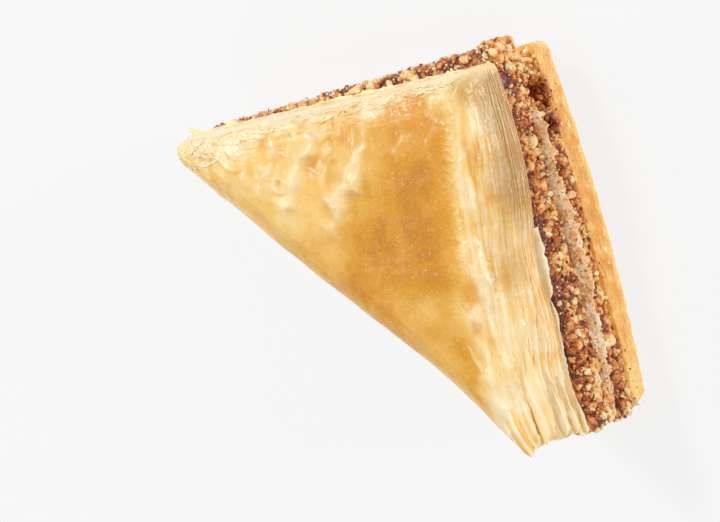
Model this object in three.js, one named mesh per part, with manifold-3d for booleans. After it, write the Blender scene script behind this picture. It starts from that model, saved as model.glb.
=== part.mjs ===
// A triangular piece of baklava, cut from a tray. From the bottom up it has a thin stack of
// phyllo leaves, a nut filling, a middle layer of phyllo, a thicker nut filling and a puffed
// stack of top phyllo whose leaf edges step back from the cut.
// Sizes are in millimetres, +Z is up, and the piece lies on its flat base. The long cut edge
// at the front runs along X, the square corner is front right, and the hypotenuse faces back left.
import * as THREE from 'three';
import { mergeVertices } from 'three/addons/utils/BufferGeometryUtils.js';
import Module from 'manifold-3d';

// ---- Driving dimensions ----
const frontLeg = 62; // cut side along X
const sideLeg = 66; // cut side along Y
const frontY = -30; // where the front cut stands
const tipWidth = 4.4; // the acute tip at the back is cut blunt
const bluntWidth = 5.8; // so is the acute corner at the front left
const cornerRadius = 2; // how far each corner is rounded
const layerGap = 0.3; // clearance between neighbouring layers

// Heights of the layer boundaries over the base.
const bottomPhylloTop = 4.2;
const lowerFillingTop = 8.8;
const middlePhylloTop = 10.3;
const upperFillingTop = 16.8;

// The top stack is pressed flat at the square corner and fans open at the blunt one.
const topHeight = 26.2; // at the middle of the outline
const topTiltX = -0.1; // rise for each millimetre along X
const topTiltY = 0.03; // and along Y
const topCrown = 1.6; // how much the puffed middle stands over the edges

const backDroop = 2.2; // how far the top leaf rounds down over the hypotenuse
const bundles = 9; // leaf bundles in the top stack

const backHollow = 1.5; // how far the hypotenuse is hollowed near the blunt corner
const edgeReach = 6.5; // how far inside an edge its movements are still felt
const layerWave = 0.25; // unevenness of the boundaries between layers
const outlineSteps = 120; // samples round the outline, a multiple of 8

// ---- Small helpers ----

// A repeatable value from 0 to 1 for any number.
function hash(n) {
  const s = Math.sin(n * 127.1 + 311.7) * 43758.5453;
  return s - Math.floor(s);
}

// Gentle unevenness round the outline, from -1 to 1. It closes on itself because it has a
// whole number of waves.
function ripple(u, seed, waves) {
  const shares = [0.5, 0.3, 0.2];
  return shares.reduce((sum, share, i) => {
    const cycles = Math.round(waves * (1 + 0.7 * i));
    return sum + share * Math.sin(2 * Math.PI * (cycles * u + hash(seed + 17 * i)));
  }, 0);
}

// 1 at the centre of a bump, fading to 0 a few widths away.
function bump(distance, width) {
  return Math.exp(-((distance / width) ** 2));
}

// A smooth curve through three values, at 0, 0.5 and 1.
function curve([start, half, end], t) {
  return start * (1 - t) * (1 - 2 * t) + half * 4 * t * (1 - t) + end * t * (2 * t - 1);
}

const clamp = THREE.MathUtils.clamp;
const lerp = THREE.MathUtils.lerp;
const smoothstep = THREE.MathUtils.smoothstep;

// ---- Plan outline ----

const squareCorner = new THREE.Vector2(frontLeg / 2, frontY);
const backTip = new THREE.Vector2(frontLeg / 2 - 0.5, frontY + sideLeg);
const backTipInner = new THREE.Vector2(frontLeg / 2 - tipWidth, frontY + sideLeg);
const leftCornerBack = new THREE.Vector2(-frontLeg / 2, frontY + bluntWidth);
const leftCorner = new THREE.Vector2(-frontLeg / 2, frontY);
const corners = [squareCorner, backTip, backTipInner, leftCornerBack, leftCorner];

// The directions in which the edges of a layer are moved.
const outward = {
  front: new THREE.Vector2(0, -1),
  side: new THREE.Vector2(1, 0),
  back: new THREE.Vector2()
    .subVectors(leftCornerBack, backTipInner)
    .rotateAround(new THREE.Vector2(), -Math.PI / 2)
    .normalize(),
  left: new THREE.Vector2(-1, 0),
  tip: new THREE.Vector2(0, 1),
};
const onEdge = {
  front: squareCorner,
  side: squareCorner,
  back: leftCornerBack,
  left: leftCorner,
  tip: backTip,
};

// How far inside one of the edges a point in plan lies.
const depthFrom = (edge, point) => onEdge[edge].clone().sub(point).dot(outward[edge]);

// The point as far from both legs as from the hypotenuse.
const inradius =
  depthFrom('back', squareCorner) / (1 - outward.back.x + outward.back.y);
const centre = new THREE.Vector2(frontLeg / 2 - inradius, frontY + inradius);

// The rounded outline, anticlockwise, as evenly spaced samples. Each knows how far it is
// along the front and the side, both from the square corner, and how much it follows each
// edge when that edge is moved.
function makeOutline() {
  const path = new THREE.Path();
  corners.forEach((corner, i) => {
    const before = corners[(i + corners.length - 1) % corners.length];
    const after = corners[(i + 1) % corners.length];
    const [toBefore, toAfter] = [corner.distanceTo(before), corner.distanceTo(after)];
    const radius = Math.min(cornerRadius, 0.42 * toBefore, 0.42 * toAfter);
    const start = corner.clone().lerp(before, radius / toBefore);
    const end = corner.clone().lerp(after, radius / toAfter);
    if (i === 0) path.moveTo(start.x, start.y);
    else path.lineTo(start.x, start.y);
    path.quadraticCurveTo(corner.x, corner.y, end.x, end.y);
  });
  path.closePath();

  const points = path.getSpacedPoints(outlineSteps).slice(0, outlineSteps);
  return points.map((point, i) => {
    const before = points[(i + outlineSteps - 1) % outlineSteps];
    const after = points[(i + 1) % outlineSteps];
    const normal = new THREE.Vector2(after.y - before.y, before.x - after.x).normalize();
    const follows = {};
    Object.keys(outward).forEach((edge) => {
      follows[edge] = clamp(1 - depthFrom(edge, point) / edgeReach, 0, 1);
    });
    return {
      point,
      normal,
      follows,
      u: i / outlineSteps,
      alongFront: clamp((frontLeg / 2 - point.x) / frontLeg, 0, 1),
      alongSide: clamp((point.y - frontY) / sideLeg, 0, 1),
      fromSquareCorner: point.distanceTo(squareCorner),
    };
  });
}

const outline = makeOutline();

// A sample moved outwards by millimetres for each edge (inwards where negative), and
// along its own normal by rough.
function moved(sample, out, rough = 0) {
  const place = sample.point.clone().addScaledVector(sample.normal, rough);
  Object.keys(out).forEach((edge) => {
    place.addScaledVector(outward[edge], out[edge] * sample.follows[edge]);
  });
  return place;
}

// The hypotenuse is a little hollow towards the blunt corner.
const hollowOf = (point) => backHollow * bump(point.x + 17, 11);

// ---- Layered solids from rings ----

// A ring of points. place gives each outline sample's plan position at the rim; share pulls
// the ring towards the centre, and step skips samples where fewer points are enough.
function ring(place, height, { share = 1, step = 1 } = {}) {
  const points = [];
  for (let i = 0; i < outlineSteps; i += step) {
    const sample = outline[i];
    const plan = centre.clone().lerp(place(sample), share);
    points.push(new THREE.Vector3(plan.x, plan.y, height(sample, share, plan)));
  }
  return points;
}

// Joins two rings. The upper one may have as many points as the lower one, or half.
function bridge(lower, upper, addTriangle) {
  const [n, m] = [lower.length, upper.length];
  for (let i = 0; i < m; i++) {
    const next = (i + 1) % m;
    if (n === m) {
      addTriangle(lower[i], lower[next], upper[next]);
      addTriangle(lower[i], upper[next], upper[i]);
    } else {
      const [a, b, c] = [2 * i, 2 * i + 1, (2 * i + 2) % n];
      addTriangle(lower[a], lower[b], upper[i]);
      addTriangle(lower[b], upper[next], upper[i]);
      addTriangle(lower[b], lower[c], upper[next]);
    }
  }
}

// A closed solid that runs from the centre of its underside, over its rings, to the centre
// of its top.
function solidFromRings(rings, lowCentreZ, highCentreZ) {
  const positions = [];
  const addTriangle = (...points) => points.forEach((p) => positions.push(p.x, p.y, p.z));
  const low = new THREE.Vector3(centre.x, centre.y, lowCentreZ);
  const high = new THREE.Vector3(centre.x, centre.y, highCentreZ);
  const first = rings[0];
  const last = rings[rings.length - 1];
  first.forEach((p, i) => addTriangle(low, first[(i + 1) % first.length], p));
  for (let i = 0; i + 1 < rings.length; i++) bridge(rings[i], rings[i + 1], addTriangle);
  last.forEach((p, i) => addTriangle(high, p, last[(i + 1) % last.length]));
  const geometry = new THREE.BufferGeometry();
  geometry.setAttribute('position', new THREE.Float32BufferAttribute(positions, 3));
  return mergeVertices(geometry, 1e-4);
}

// A boundary between two layers. It waves a little along the edge and is level at the
// centre; the layers over and under it share the waves.
function boundary(z, seed) {
  return (sample, share) => z + layerWave * ripple(sample.u, seed, 6) * share;
}

const boundaries = {
  bottomPhyllo: boundary(bottomPhylloTop, 1),
  lowerFilling: boundary(lowerFillingTop, 2),
  middlePhyllo: boundary(middlePhylloTop, 2),
  upperFilling: boundary(upperFillingTop, 3),
};
const above = (height) => (...where) => height(...where) + layerGap / 2;
const below = (height) => (...where) => height(...where) - layerGap / 2;
const between = (low, high, t) => (...where) => lerp(low(...where), high(...where), t);

// ---- Bottom phyllo: a flat base and a few leaf edges, bowed out at the front ----

function bottomPlace(sample, leaf, t, shrink = 0) {
  const out = {
    front: lerp(curve([-0.8, 1.9, 1.4], sample.alongFront), curve([-0.7, 1.1, 1.8], sample.alongFront), t),
    side: -0.2,
    back: -0.3 - hollowOf(sample.point),
    left: lerp(-1.2, -0.2, t),
    tip: -0.4,
  };
  return moved(sample, out, 0.3 * ripple(sample.u, 40 + leaf, 11) - shrink);
}

function makeBottomPhyllo() {
  const leaves = 4;
  const base = () => 0;
  const top = below(boundaries.bottomPhyllo);
  const coarse = { step: 2 };
  const rings = [ring((s) => bottomPlace(s, 0, 0, 0.5), base, coarse)];
  for (let leaf = 0; leaf < leaves; leaf++) {
    const [low, high] = [(leaf + 0.25) / leaves, (leaf + 0.85) / leaves];
    const back = leaf === leaves - 1 ? 0 : 0.35;
    rings.push(ring((s) => bottomPlace(s, leaf, low), between(base, top, low), coarse));
    rings.push(ring((s) => bottomPlace(s, leaf, high, back), between(base, top, high), coarse));
  }
  rings.push(ring((s) => bottomPlace(s, leaves - 1, 1, 0.6), top, coarse));
  return solidFromRings(rings, 0, bottomPhylloTop - layerGap / 2);
}

// ---- Middle phyllo: two or three soft leaves between the fillings ----

function middlePlace(sample, shrink = 0) {
  const ragged = 0.35 * ripple(sample.u, 60, 21) + 0.25 * ripple(sample.u, 61, 9);
  const out = {
    front: curve([-0.8, 2.4, 0.8], sample.alongFront),
    side: lerp(0.8, -0.6, sample.alongSide),
    back: -0.2 - hollowOf(sample.point),
    left: -0.3,
    tip: -1.2,
  };
  return moved(sample, out, ragged - shrink - 0.8 * bump(sample.fromSquareCorner, 4));
}

function makeMiddlePhyllo() {
  const low = above(boundaries.lowerFilling);
  const high = below(boundaries.middlePhyllo);
  const coarse = { step: 2 };
  const rings = [
    ring((s) => middlePlace(s, 0.3), low, coarse),
    ring(middlePlace, between(low, high, 0.3), coarse),
    ring((s) => middlePlace(s, 0.1), between(low, high, 0.75), coarse),
    ring((s) => middlePlace(s, 0.35), high, coarse),
  ];
  return solidFromRings(rings, lowerFillingTop + layerGap / 2, middlePhylloTop - layerGap / 2);
}

// ---- Fillings: crumbly sides with the larger pieces of nut standing out ----

// Places along the front where nut has fallen out of the lower filling.
const hollows = [
  { x: 23, width: 2.6, depth: 2.6 },
  { x: 18.3, width: 1.2, depth: 1.2 },
];

function lowerFillingPlace(sample, row, shrink = 0) {
  const crumbly = 0.35 * ripple(sample.u, 70 + row, 29) + 0.25 * ripple(sample.u, 80, 13);
  const brokenOut = 2.8 * bump(sample.fromSquareCorner, 4.5);
  const fallenOut = hollows.reduce((sum, h) => sum + h.depth * bump(sample.point.x - h.x, h.width), 0);
  const out = {
    front: curve([0.2, 0.9, 1.5], sample.alongFront) - fallenOut - brokenOut,
    side: lerp(0.8, -0.6, sample.alongSide) - brokenOut,
    back: -0.7 - hollowOf(sample.point),
    left: 0.2,
    tip: -2.4,
  };
  return moved(sample, out, crumbly - shrink);
}

function upperFillingPlace(sample, row, shrink = 0) {
  const crumbly = 0.35 * ripple(sample.u, 90 + row, 27) + 0.3 * ripple(sample.u, 100, 12);
  const cornerLump = 1.1 * bump(sample.fromSquareCorner, 4);
  const out = {
    front: curve([0.4, 0.7, 1.3], sample.alongFront) + cornerLump,
    side: lerp(1.9, -0.1, sample.alongSide) + cornerLump,
    back: -0.5 - hollowOf(sample.point),
    left: -0.1,
    tip: -2.8,
  };
  return moved(sample, out, crumbly - shrink);
}

// Crumbly slab between two boundaries.
function makeSlab(place, low, high, lowCentreZ, highCentreZ) {
  const rows = [
    { height: 0, shrink: 0.7 },
    { height: 0.18, shrink: 0.1 },
    { height: 0.5, shrink: -0.1 },
    { height: 0.82, shrink: 0.15 },
    { height: 1, shrink: 0.8 },
  ];
  const rings = rows.map((row, i) => ring((s) => place(s, i, row.shrink), between(low, high, row.height)));
  return solidFromRings(rings, lowCentreZ, highCentreZ);
}

// A rough piece of chopped nut: a stretched, dented, turned icosahedron.
function nutPiece(size, seed) {
  const geometry = new THREE.IcosahedronGeometry(1, 0);
  geometry.deleteAttribute('normal');
  geometry.deleteAttribute('uv');
  const piece = mergeVertices(geometry, 1e-4);
  const position = piece.getAttribute('position');
  for (let i = 0; i < position.count; i++) {
    const dent = 0.78 + 0.3 * hash(seed + 0.37 * i);
    position.setXYZ(i, position.getX(i) * dent, position.getY(i) * dent, position.getZ(i) * dent);
  }
  piece.scale(size * (0.85 + 0.4 * hash(seed + 5)), size * (0.75 + 0.3 * hash(seed + 6)), size * 0.8);
  piece.rotateX(0.5 * (hash(seed + 7) - 0.5)).rotateY(0.5 * (hash(seed + 8) - 0.5));
  return piece.rotateZ(2 * Math.PI * hash(seed + 9));
}

// Nut pieces spread evenly along the sides of a filling, each half sunk in it and clear of
// the layers over and under it.
function nutPieces(count, place, low, high, largest, seed) {
  const pieces = [];
  for (let i = 0; i < count; i++) {
    const draw = seed + 13 * i;
    const steps = Math.floor(((i + 0.8 * hash(draw)) / count) * outlineSteps);
    const sample = outline[steps % outlineSteps];
    const size = largest * (0.55 + 0.45 * hash(draw + 1) ** 2);
    const plan = place(sample, 2, 0.35 * size);
    const [floorZ, ceilingZ] = [low(sample, 1) + size, high(sample, 1) - size];
    const piece = nutPiece(size, draw);
    piece.translate(plan.x, plan.y, lerp(floorZ, ceilingZ, hash(draw + 2)));
    pieces.push(piece);
  }
  return pieces;
}

// ---- Top phyllo: bundles of leaves that step back, under a puffed, creased top leaf ----

// Where a bundle's edges stand, from the lowest (t = 0) to the top leaf (t = 1).
function stackPlace(sample, t, bundle, shrink = 0) {
  const lowFront = curve([-0.3, 1.1, -0.7], sample.alongFront);
  const highFront = curve([-3.4, -4.7, -5], sample.alongFront);
  const out = {
    front: lerp(lowFront, highFront, t ** 1.25),
    side: -0.5 - 1.1 * t,
    back: -0.9 + 1.1 * Math.sin(Math.PI * Math.min(1, 1.25 * t)) - 1.2 * t ** 4 - hollowOf(sample.point),
    left: -0.2 - 0.8 * (1 - t) + 0.5 * (hash(200 + bundle) - 0.5),
    tip: -0.3 - 0.5 * t,
  };
  const leafy = 0.4 * ripple(sample.u, 120 + 7 * bundle, 7) + 0.2 * ripple(sample.u, 121 + 7 * bundle, 19);
  const smoothBack = 1 - 0.8 * sample.follows.back * smoothstep(t, 0.3, 0.7);
  return moved(sample, out, leafy * smoothBack - shrink);
}

// Ridges in the top leaf between two points in plan.
const creases = [
  { from: [20.3, 8.3], to: [28.2, 0], width: 1.5, rise: 1.1 },
  { from: [24.6, -1.6], to: [28.3, -5], width: 1.2, rise: 0.9 },
  { from: [12.4, 0.7], to: [19.5, -8], width: 2.2, rise: 1.2 },
  { from: [27.4, 16.5], to: [28.6, 10], width: 1.2, rise: 0.8 },
  { from: [3.6, 3], to: [0, -22], width: 1.1, rise: 0.5 },
  { from: [-9, -22.5], to: [-27, -24], width: 1, rise: 0.7 },
];
const blister = { at: [19.2, 11.2], width: 1.2, rise: 0.5 };

function creaseHeight(plan, crease) {
  const place = new THREE.Vector3(plan.x, plan.y, 0);
  const line = new THREE.Line3(new THREE.Vector3(...crease.from, 0), new THREE.Vector3(...crease.to, 0));
  const nearest = line.closestPointToPoint(place, true, new THREE.Vector3());
  return crease.rise * bump(nearest.distanceTo(place), crease.width);
}

// The height of the stack's rim before its creases. It rounds down over the hypotenuse.
function rimHeight(plan) {
  const overBack = Math.max(0, 1 - (depthFrom('back', plan) - hollowOf(plan)) / 6);
  return topHeight + topTiltX * plan.x + topTiltY * plan.y - backDroop * overBack ** 2;
}

function topLeafHeight(sample, share, plan) {
  const { x, y } = plan;
  const undulation = 0.35 * Math.sin(0.21 * x + 0.13 * y + 0.6) * Math.sin(0.17 * y - 0.11 * x + 2.1);
  const creased = creases.reduce((sum, crease) => sum + creaseHeight(plan, crease), 0);
  const bubble = blister.rise * bump(Math.hypot(x - blister.at[0], y - blister.at[1]), blister.width);
  const awayFromRim = smoothstep(1 - share, 0, 0.14);
  return rimHeight(plan) + topCrown * (1 - share ** 4) + (undulation + creased + bubble) * awayFromRim;
}

// Height of a leaf edge in the stack, from the underside (t = 0) to the top leaf (t = 1).
function stackHeight(t, bundle) {
  return (sample, share, plan) => {
    const low = above(boundaries.upperFilling)(sample, share);
    const flutter = 0.25 * ripple(sample.u, 160 + 3 * bundle, 15) * Math.sin(Math.PI * t);
    return lerp(low, rimHeight(plan), t) + flutter;
  };
}

function makeTopPhyllo() {
  const rings = [ring((s) => stackPlace(s, 0, 0, 0.5), above(boundaries.upperFilling))];
  for (let bundle = 0; bundle < bundles; bundle++) {
    const t = bundle / (bundles - 1);
    const [low, high] = [(bundle + 0.12) / bundles, (bundle + 0.9) / bundles];
    rings.push(ring((s) => stackPlace(s, t, bundle), stackHeight(low, bundle)));
    rings.push(ring((s) => stackPlace(s, t, bundle, 0.12), stackHeight(high, bundle)));
  }
  const rim = (s) => stackPlace(s, 1, bundles - 1, 0.45);
  rings.push(ring(rim, topLeafHeight));
  rings.push(ring(rim, topLeafHeight, { share: 0.94 }));
  rings.push(ring(rim, topLeafHeight, { share: 0.86, step: 2 }));
  rings.push(ring(rim, topLeafHeight, { share: 0.77, step: 2 }));
  rings.push(ring(rim, topLeafHeight, { share: 0.67, step: 2 }));
  rings.push(ring(rim, topLeafHeight, { share: 0.56, step: 2 }));
  rings.push(ring(rim, topLeafHeight, { share: 0.43, step: 4 }));
  rings.push(ring(rim, topLeafHeight, { share: 0.24, step: 8 }));
  return solidFromRings(rings, upperFillingTop + layerGap / 2, topLeafHeight(outline[0], 0, centre));
}

// ---- Joining nut pieces to their filling ----

const wasm = await Module();
wasm.setup();

function toManifold(geometry) {
  return new wasm.Manifold(
    new wasm.Mesh({
      numProp: 3,
      vertProperties: new Float32Array(geometry.getAttribute('position').array),
      triVerts: new Uint32Array(geometry.index.array),
    }),
  );
}

function toGeometry(solid) {
  const mesh = solid.getMesh();
  const geometry = new THREE.BufferGeometry();
  geometry.setAttribute('position', new THREE.BufferAttribute(mesh.vertProperties, mesh.numProp));
  geometry.setIndex(new THREE.BufferAttribute(mesh.triVerts, 1));
  return geometry;
}

const joined = (slab, pieces) =>
  toGeometry(pieces.reduce((solid, piece) => solid.add(toManifold(piece)), toManifold(slab)));

function makeLowerFilling() {
  const [low, high] = [above(boundaries.bottomPhyllo), below(boundaries.lowerFilling)];
  const slab = makeSlab(
    lowerFillingPlace, low, high, bottomPhylloTop + layerGap / 2, lowerFillingTop - layerGap / 2,
  );
  return joined(slab, nutPieces(44, lowerFillingPlace, low, high, 1.7, 400));
}

function makeUpperFilling() {
  const [low, high] = [above(boundaries.middlePhyllo), below(boundaries.upperFilling)];
  const slab = makeSlab(
    upperFillingPlace, low, high, middlePhylloTop + layerGap / 2, upperFillingTop - layerGap / 2,
  );
  return joined(slab, nutPieces(52, upperFillingPlace, low, high, 2.1, 900));
}

// ---- Colours and assembly ----

function material(color, roughness) {
  return new THREE.MeshStandardMaterial({ color, roughness, metalness: 0, flatShading: true });
}

const syrupedPhyllo = material(0xe0a050, 0.35);
const softPhyllo = material(0xd9c08c, 0.5);
const nutFilling = material(0xa8764a, 0.6);
const glazedPhyllo = material(0xecc277, 0.3);

const baklava = new THREE.Group();

function addLayer(name, geometry, surface) {
  const mesh = new THREE.Mesh(geometry, surface);
  mesh.name = name;
  baklava.add(mesh);
}

addLayer('bottom_phyllo', makeBottomPhyllo(), syrupedPhyllo);
addLayer('lower_filling', makeLowerFilling(), nutFilling);
addLayer('middle_phyllo', makeMiddlePhyllo(), softPhyllo);
addLayer('upper_filling', makeUpperFilling(), nutFilling);
addLayer('top_phyllo', makeTopPhyllo(), glazedPhyllo);

// The origin is the centre of the box round the piece, at its base.
const box = new THREE.Box3().setFromObject(baklava);
const middle = box.getCenter(new THREE.Vector3());
baklava.position.set(-middle.x, -middle.y, -box.min.z);

export default baklava;
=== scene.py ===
# Baklava piece: a triangle cut from the tray, with crisp phyllo leaves over two nut fillings.
import math

import bpy
import numpy as np
from mathutils import Matrix, Vector, noise


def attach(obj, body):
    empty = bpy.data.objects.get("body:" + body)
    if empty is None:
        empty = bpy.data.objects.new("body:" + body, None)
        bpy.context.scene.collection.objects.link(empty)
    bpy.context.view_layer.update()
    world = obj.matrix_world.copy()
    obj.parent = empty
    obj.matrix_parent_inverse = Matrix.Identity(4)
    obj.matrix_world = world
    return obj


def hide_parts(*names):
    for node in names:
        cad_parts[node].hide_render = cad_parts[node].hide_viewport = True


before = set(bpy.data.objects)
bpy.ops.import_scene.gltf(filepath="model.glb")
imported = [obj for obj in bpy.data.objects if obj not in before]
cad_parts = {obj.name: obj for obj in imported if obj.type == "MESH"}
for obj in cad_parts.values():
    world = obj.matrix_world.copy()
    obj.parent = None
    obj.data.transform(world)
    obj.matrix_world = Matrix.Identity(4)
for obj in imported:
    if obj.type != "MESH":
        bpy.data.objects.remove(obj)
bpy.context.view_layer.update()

mm = 0.001  # every size below is in millimetres
print("frame loaded")

# Plan outline. It is drawn round its own origin and moved to the frame at the end.
outlineSizes = {
    "frontLeg": 62.0,  # cut edge along x
    "sideLeg": 66.0,  # cut edge along y
    "frontY": -30.0,
    "tipWidth": 4.4,  # the back tip is cut blunt
    "bluntWidth": 5.8,  # and so is the corner at the front left
    "cornerRadius": 2.0,
    "edgeReach": 6.5,  # how far inside an edge its movements are still felt
    "backHollow": 1.5,  # the hypotenuse is a little hollow near the blunt corner
    "toFrame": (-1.447, -1.477),
    "samples": 880,
    "closer": {"front": 2.1, "side": 1.5, "left": 2.1},  # sample density, against 1 elsewhere
}


def hashed(n):
    s = math.sin(n * 127.1 + 311.7) * 43758.5453
    return s - math.floor(s)


def ripple(along, seed, waves):  # unevenness round the outline, the same as in the solids
    total = 0
    for i, share in enumerate((0.5, 0.3, 0.2)):
        cycles = math.floor(waves * (1 + 0.7 * i) + 0.5)
        total = total + share * np.sin(2 * math.pi * (cycles * along + hashed(seed + 17 * i)))
    return total


def waver(points, scale, seed, octaves=1):  # smooth noise, about -1 to 1
    flat = np.asarray(points).reshape(-1, np.shape(points)[-1])
    x, y = flat[:, 0], flat[:, 1]
    z = flat[:, 2] if flat.shape[1] > 2 else np.zeros(len(flat))
    total = np.zeros(len(flat))
    for octave in range(octaves):
        size = scale * 2**octave
        places = zip(x * size, y * size, z * size + 7.3 * seed)
        total += np.array([noise.noise(place) for place in places]) / 2**octave
    return 1.6 * total.reshape(np.shape(points)[:-1])


def bump(distance, width):
    return np.exp(-((distance / width) ** 2))


def smoothstep(low, high, value):
    t = np.clip((value - low) / (high - low), 0, 1)
    return t * t * (3 - 2 * t)


def within(limits, share):  # from the first limit at 0 to the second at 1
    return limits[0] + (limits[1] - limits[0]) * share


def curve(values, t):  # through three values, at 0, 0.5 and 1
    start, half, end = values
    return start * (1 - t) * (1 - 2 * t) + half * 4 * t * (1 - t) + end * t * (2 * t - 1)


def softTable(at, values, blur=0.05):  # a table of values read as one smooth curve
    fine = np.linspace(-0.2, 1.2, 561)
    width = int(blur / (fine[1] - fine[0]))
    kernel = np.hanning(2 * width + 3)[1:-1]
    rough = np.interp(fine, at, values)
    smooth = np.convolve(np.pad(rough, width, mode="edge"), kernel / kernel.sum(), mode="valid")
    return fine, smooth


def makeOutline(sizes):
    half, front = sizes["frontLeg"] / 2, sizes["frontY"]
    back = front + sizes["sideLeg"]
    corners = np.array([
        (half, front), (half - 0.5, back), (half - sizes["tipWidth"], back),
        (-half, front + sizes["bluntWidth"]), (-half, front),
    ])
    path = []
    for i, corner in enumerate(corners):
        before, after = corners[i - 1], corners[(i + 1) % len(corners)]
        toBefore, toAfter = np.linalg.norm(before - corner), np.linalg.norm(after - corner)
        radius = min(sizes["cornerRadius"], 0.42 * toBefore, 0.42 * toAfter)
        start = corner + (before - corner) * radius / toBefore
        end = corner + (after - corner) * radius / toAfter
        for t in np.linspace(0, 1, 12):
            path.append((1 - t) ** 2 * start + 2 * t * (1 - t) * corner + t * t * end)
    closed = np.vstack([path, path[:1]])
    lengths = np.r_[0, np.cumsum(np.linalg.norm(np.diff(closed, axis=0), axis=1))]
    fine = np.linspace(0, lengths[-1], 4001)
    fineX, fineY = (np.interp(fine, lengths, closed[:, i]) for i in (0, 1))
    density = np.ones(len(fine))
    density[fineY < front + 0.4] = sizes["closer"]["front"]
    density[(fineX > half - 0.9) & (fineY > front + 0.4)] = sizes["closer"]["side"]
    density[(fineX < -half + 0.4) & (fineY > front + 0.4)] = sizes["closer"]["left"]
    density = np.convolve(np.pad(density, 20, mode="wrap"), np.ones(41) / 41, mode="valid")
    steps = np.r_[0, np.cumsum((density[1:] + density[:-1]) / 2)]
    at = np.interp(np.linspace(0, steps[-1], sizes["samples"], endpoint=False), steps, fine)
    points = np.column_stack([np.interp(at, lengths, closed[:, i]) for i in (0, 1)])
    tangent = np.roll(points, -1, axis=0) - np.roll(points, 1, axis=0)
    normal = np.column_stack([tangent[:, 1], -tangent[:, 0]])
    normal /= np.linalg.norm(normal, axis=1)[:, None]

    slope = corners[3] - corners[2]
    outward = {
        "front": np.array((0.0, -1.0)),
        "side": np.array((1.0, 0.0)),
        "back": np.array((slope[1], -slope[0])) / np.linalg.norm(slope),
        "left": np.array((-1.0, 0.0)),
        "tip": np.array((0.0, 1.0)),
    }
    onEdge = {
        "front": corners[0], "side": corners[0], "back": corners[3],
        "left": corners[4], "tip": corners[1],
    }
    across = (onEdge["back"] - corners[0]) @ outward["back"]
    inradius = across / (1 - outward["back"][0] + outward["back"][1])
    shape = {
        "points": points, "normal": normal, "outward": outward, "onEdge": onEdge,
        "centre": np.array((half - inradius, front + inradius)),
        "along": at / lengths[-1], "arc": at,
        "alongFront": np.clip((half - points[:, 0]) / sizes["frontLeg"], 0, 1),
        "alongSide": np.clip((points[:, 1] - front) / sizes["sideLeg"], 0, 1),
        "fromSquare": np.linalg.norm(points - corners[0], axis=1),
    }
    shape["follows"] = {
        edge: np.clip(1 - (onEdge[edge] - points) @ outward[edge] / sizes["edgeReach"], 0, 1)
        for edge in outward
    }
    return shape


outline = makeOutline(outlineSizes)
centre = outline["centre"]
count = outlineSizes["samples"]


def depthFrom(edge, plan):
    return (outline["onEdge"][edge] - plan) @ outline["outward"][edge]


def hollowOf(plan):
    return outlineSizes["backHollow"] * bump(plan[..., 0] + 17, 11)


def moved(out, rough=0.0):  # the outline, moved outwards by the given distance at each edge
    place = outline["points"] + outline["normal"] * (np.zeros(count) + rough)[:, None]
    for edge, distance in out.items():
        place = place + outline["outward"][edge] * (distance * outline["follows"][edge])[:, None]
    return place


def withHeight(plan, z):
    return np.column_stack([plan, np.zeros(len(plan)) + z])


# Layers
layerSizes = {
    "bottomPhylloTop": 4.2,
    "lowerFillingTop": 8.8,
    "middlePhylloTop": 10.3,
    "upperFillingTop": 16.8,
    "wave": 0.25,
    "middleWave": 0.45,  # how far the soft leaves between the fillings rise and sink
    "gap": 0.3,
    "topHeight": 26.2,
    "topTilt": (-0.1, 0.03),
    "topCrown": 1.6,
}
crownEdge = 1.06  # the crown of the top runs out a little inside the outline


def boundaryHeight(name, seed):
    return layerSizes[name] + layerSizes["wave"] * ripple(outline["along"], seed, 6)


boundaries = {
    "bottomPhylloTop": boundaryHeight("bottomPhylloTop", 1),
    "lowerFillingTop": boundaryHeight("lowerFillingTop", 2),
    "middlePhylloTop": boundaryHeight("middlePhylloTop", 2),
    "upperFillingTop": boundaryHeight("upperFillingTop", 3),
}

middleWave = layerSizes["middleWave"] * waver(outline["points"], 0.13, 40, 2)
for name in ("lowerFillingTop", "middlePhylloTop"):
    boundaries[name] = boundaries[name] + middleWave


# Meshes
def meshPiece(name, vertices, faces, material, masks=None):
    mesh = bpy.data.meshes.new(name)
    shift = np.array((*outlineSizes["toFrame"], 0.0))
    mesh.from_pydata(((np.asarray(vertices) + shift) * mm).tolist(), [], faces)
    mesh.polygons.foreach_set("use_smooth", np.ones(len(mesh.polygons), dtype=bool))
    for key, values in (masks or {}).items():
        values = np.asarray(values, dtype=np.float32)
        kind, slotName = ("FLOAT_VECTOR", "vector") if values.ndim == 2 else ("FLOAT", "value")
        mesh.attributes.new(key, kind, "POINT").data.foreach_set(slotName, values.ravel())
    mesh.materials.append(material)
    mesh.update()
    piece = bpy.data.objects.new(name, mesh)
    bpy.context.collection.objects.link(piece)
    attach(piece, "root")
    return piece


def ringFaces(rows, offset=0, wrap=False):  # quads between neighbouring rows of one ring each
    faces = []
    here = np.arange(count)
    there = (here + 1) % count
    for row in range(rows if wrap else rows - 1):
        a, b = offset + row * count, offset + ((row + 1) % rows) * count
        faces += np.column_stack([a + here, a + there, b + there, b + here]).tolist()
    return faces


def closedBody(rows, lowCentre, highCentre):  # a solid from rings, closed by a fan at each end
    vertices = np.vstack([*rows, [lowCentre], [highCentre]])
    faces = ringFaces(len(rows))
    low, high = len(vertices) - 2, len(vertices) - 1
    last = (len(rows) - 1) * count
    for i in range(count):
        j = (i + 1) % count
        faces.append([low, j, i])
        faces.append([high, last + i, last + j])
    return vertices, faces


def joinParts(parts):  # one mesh from several pairs of vertices and faces
    vertices, faces, start = [], [], 0
    for part in parts:
        vertices.append(part[0])
        faces += [[start + i for i in face] for face in part[1]]
        start += len(part[0])
    return np.vstack(vertices), faces


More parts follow.
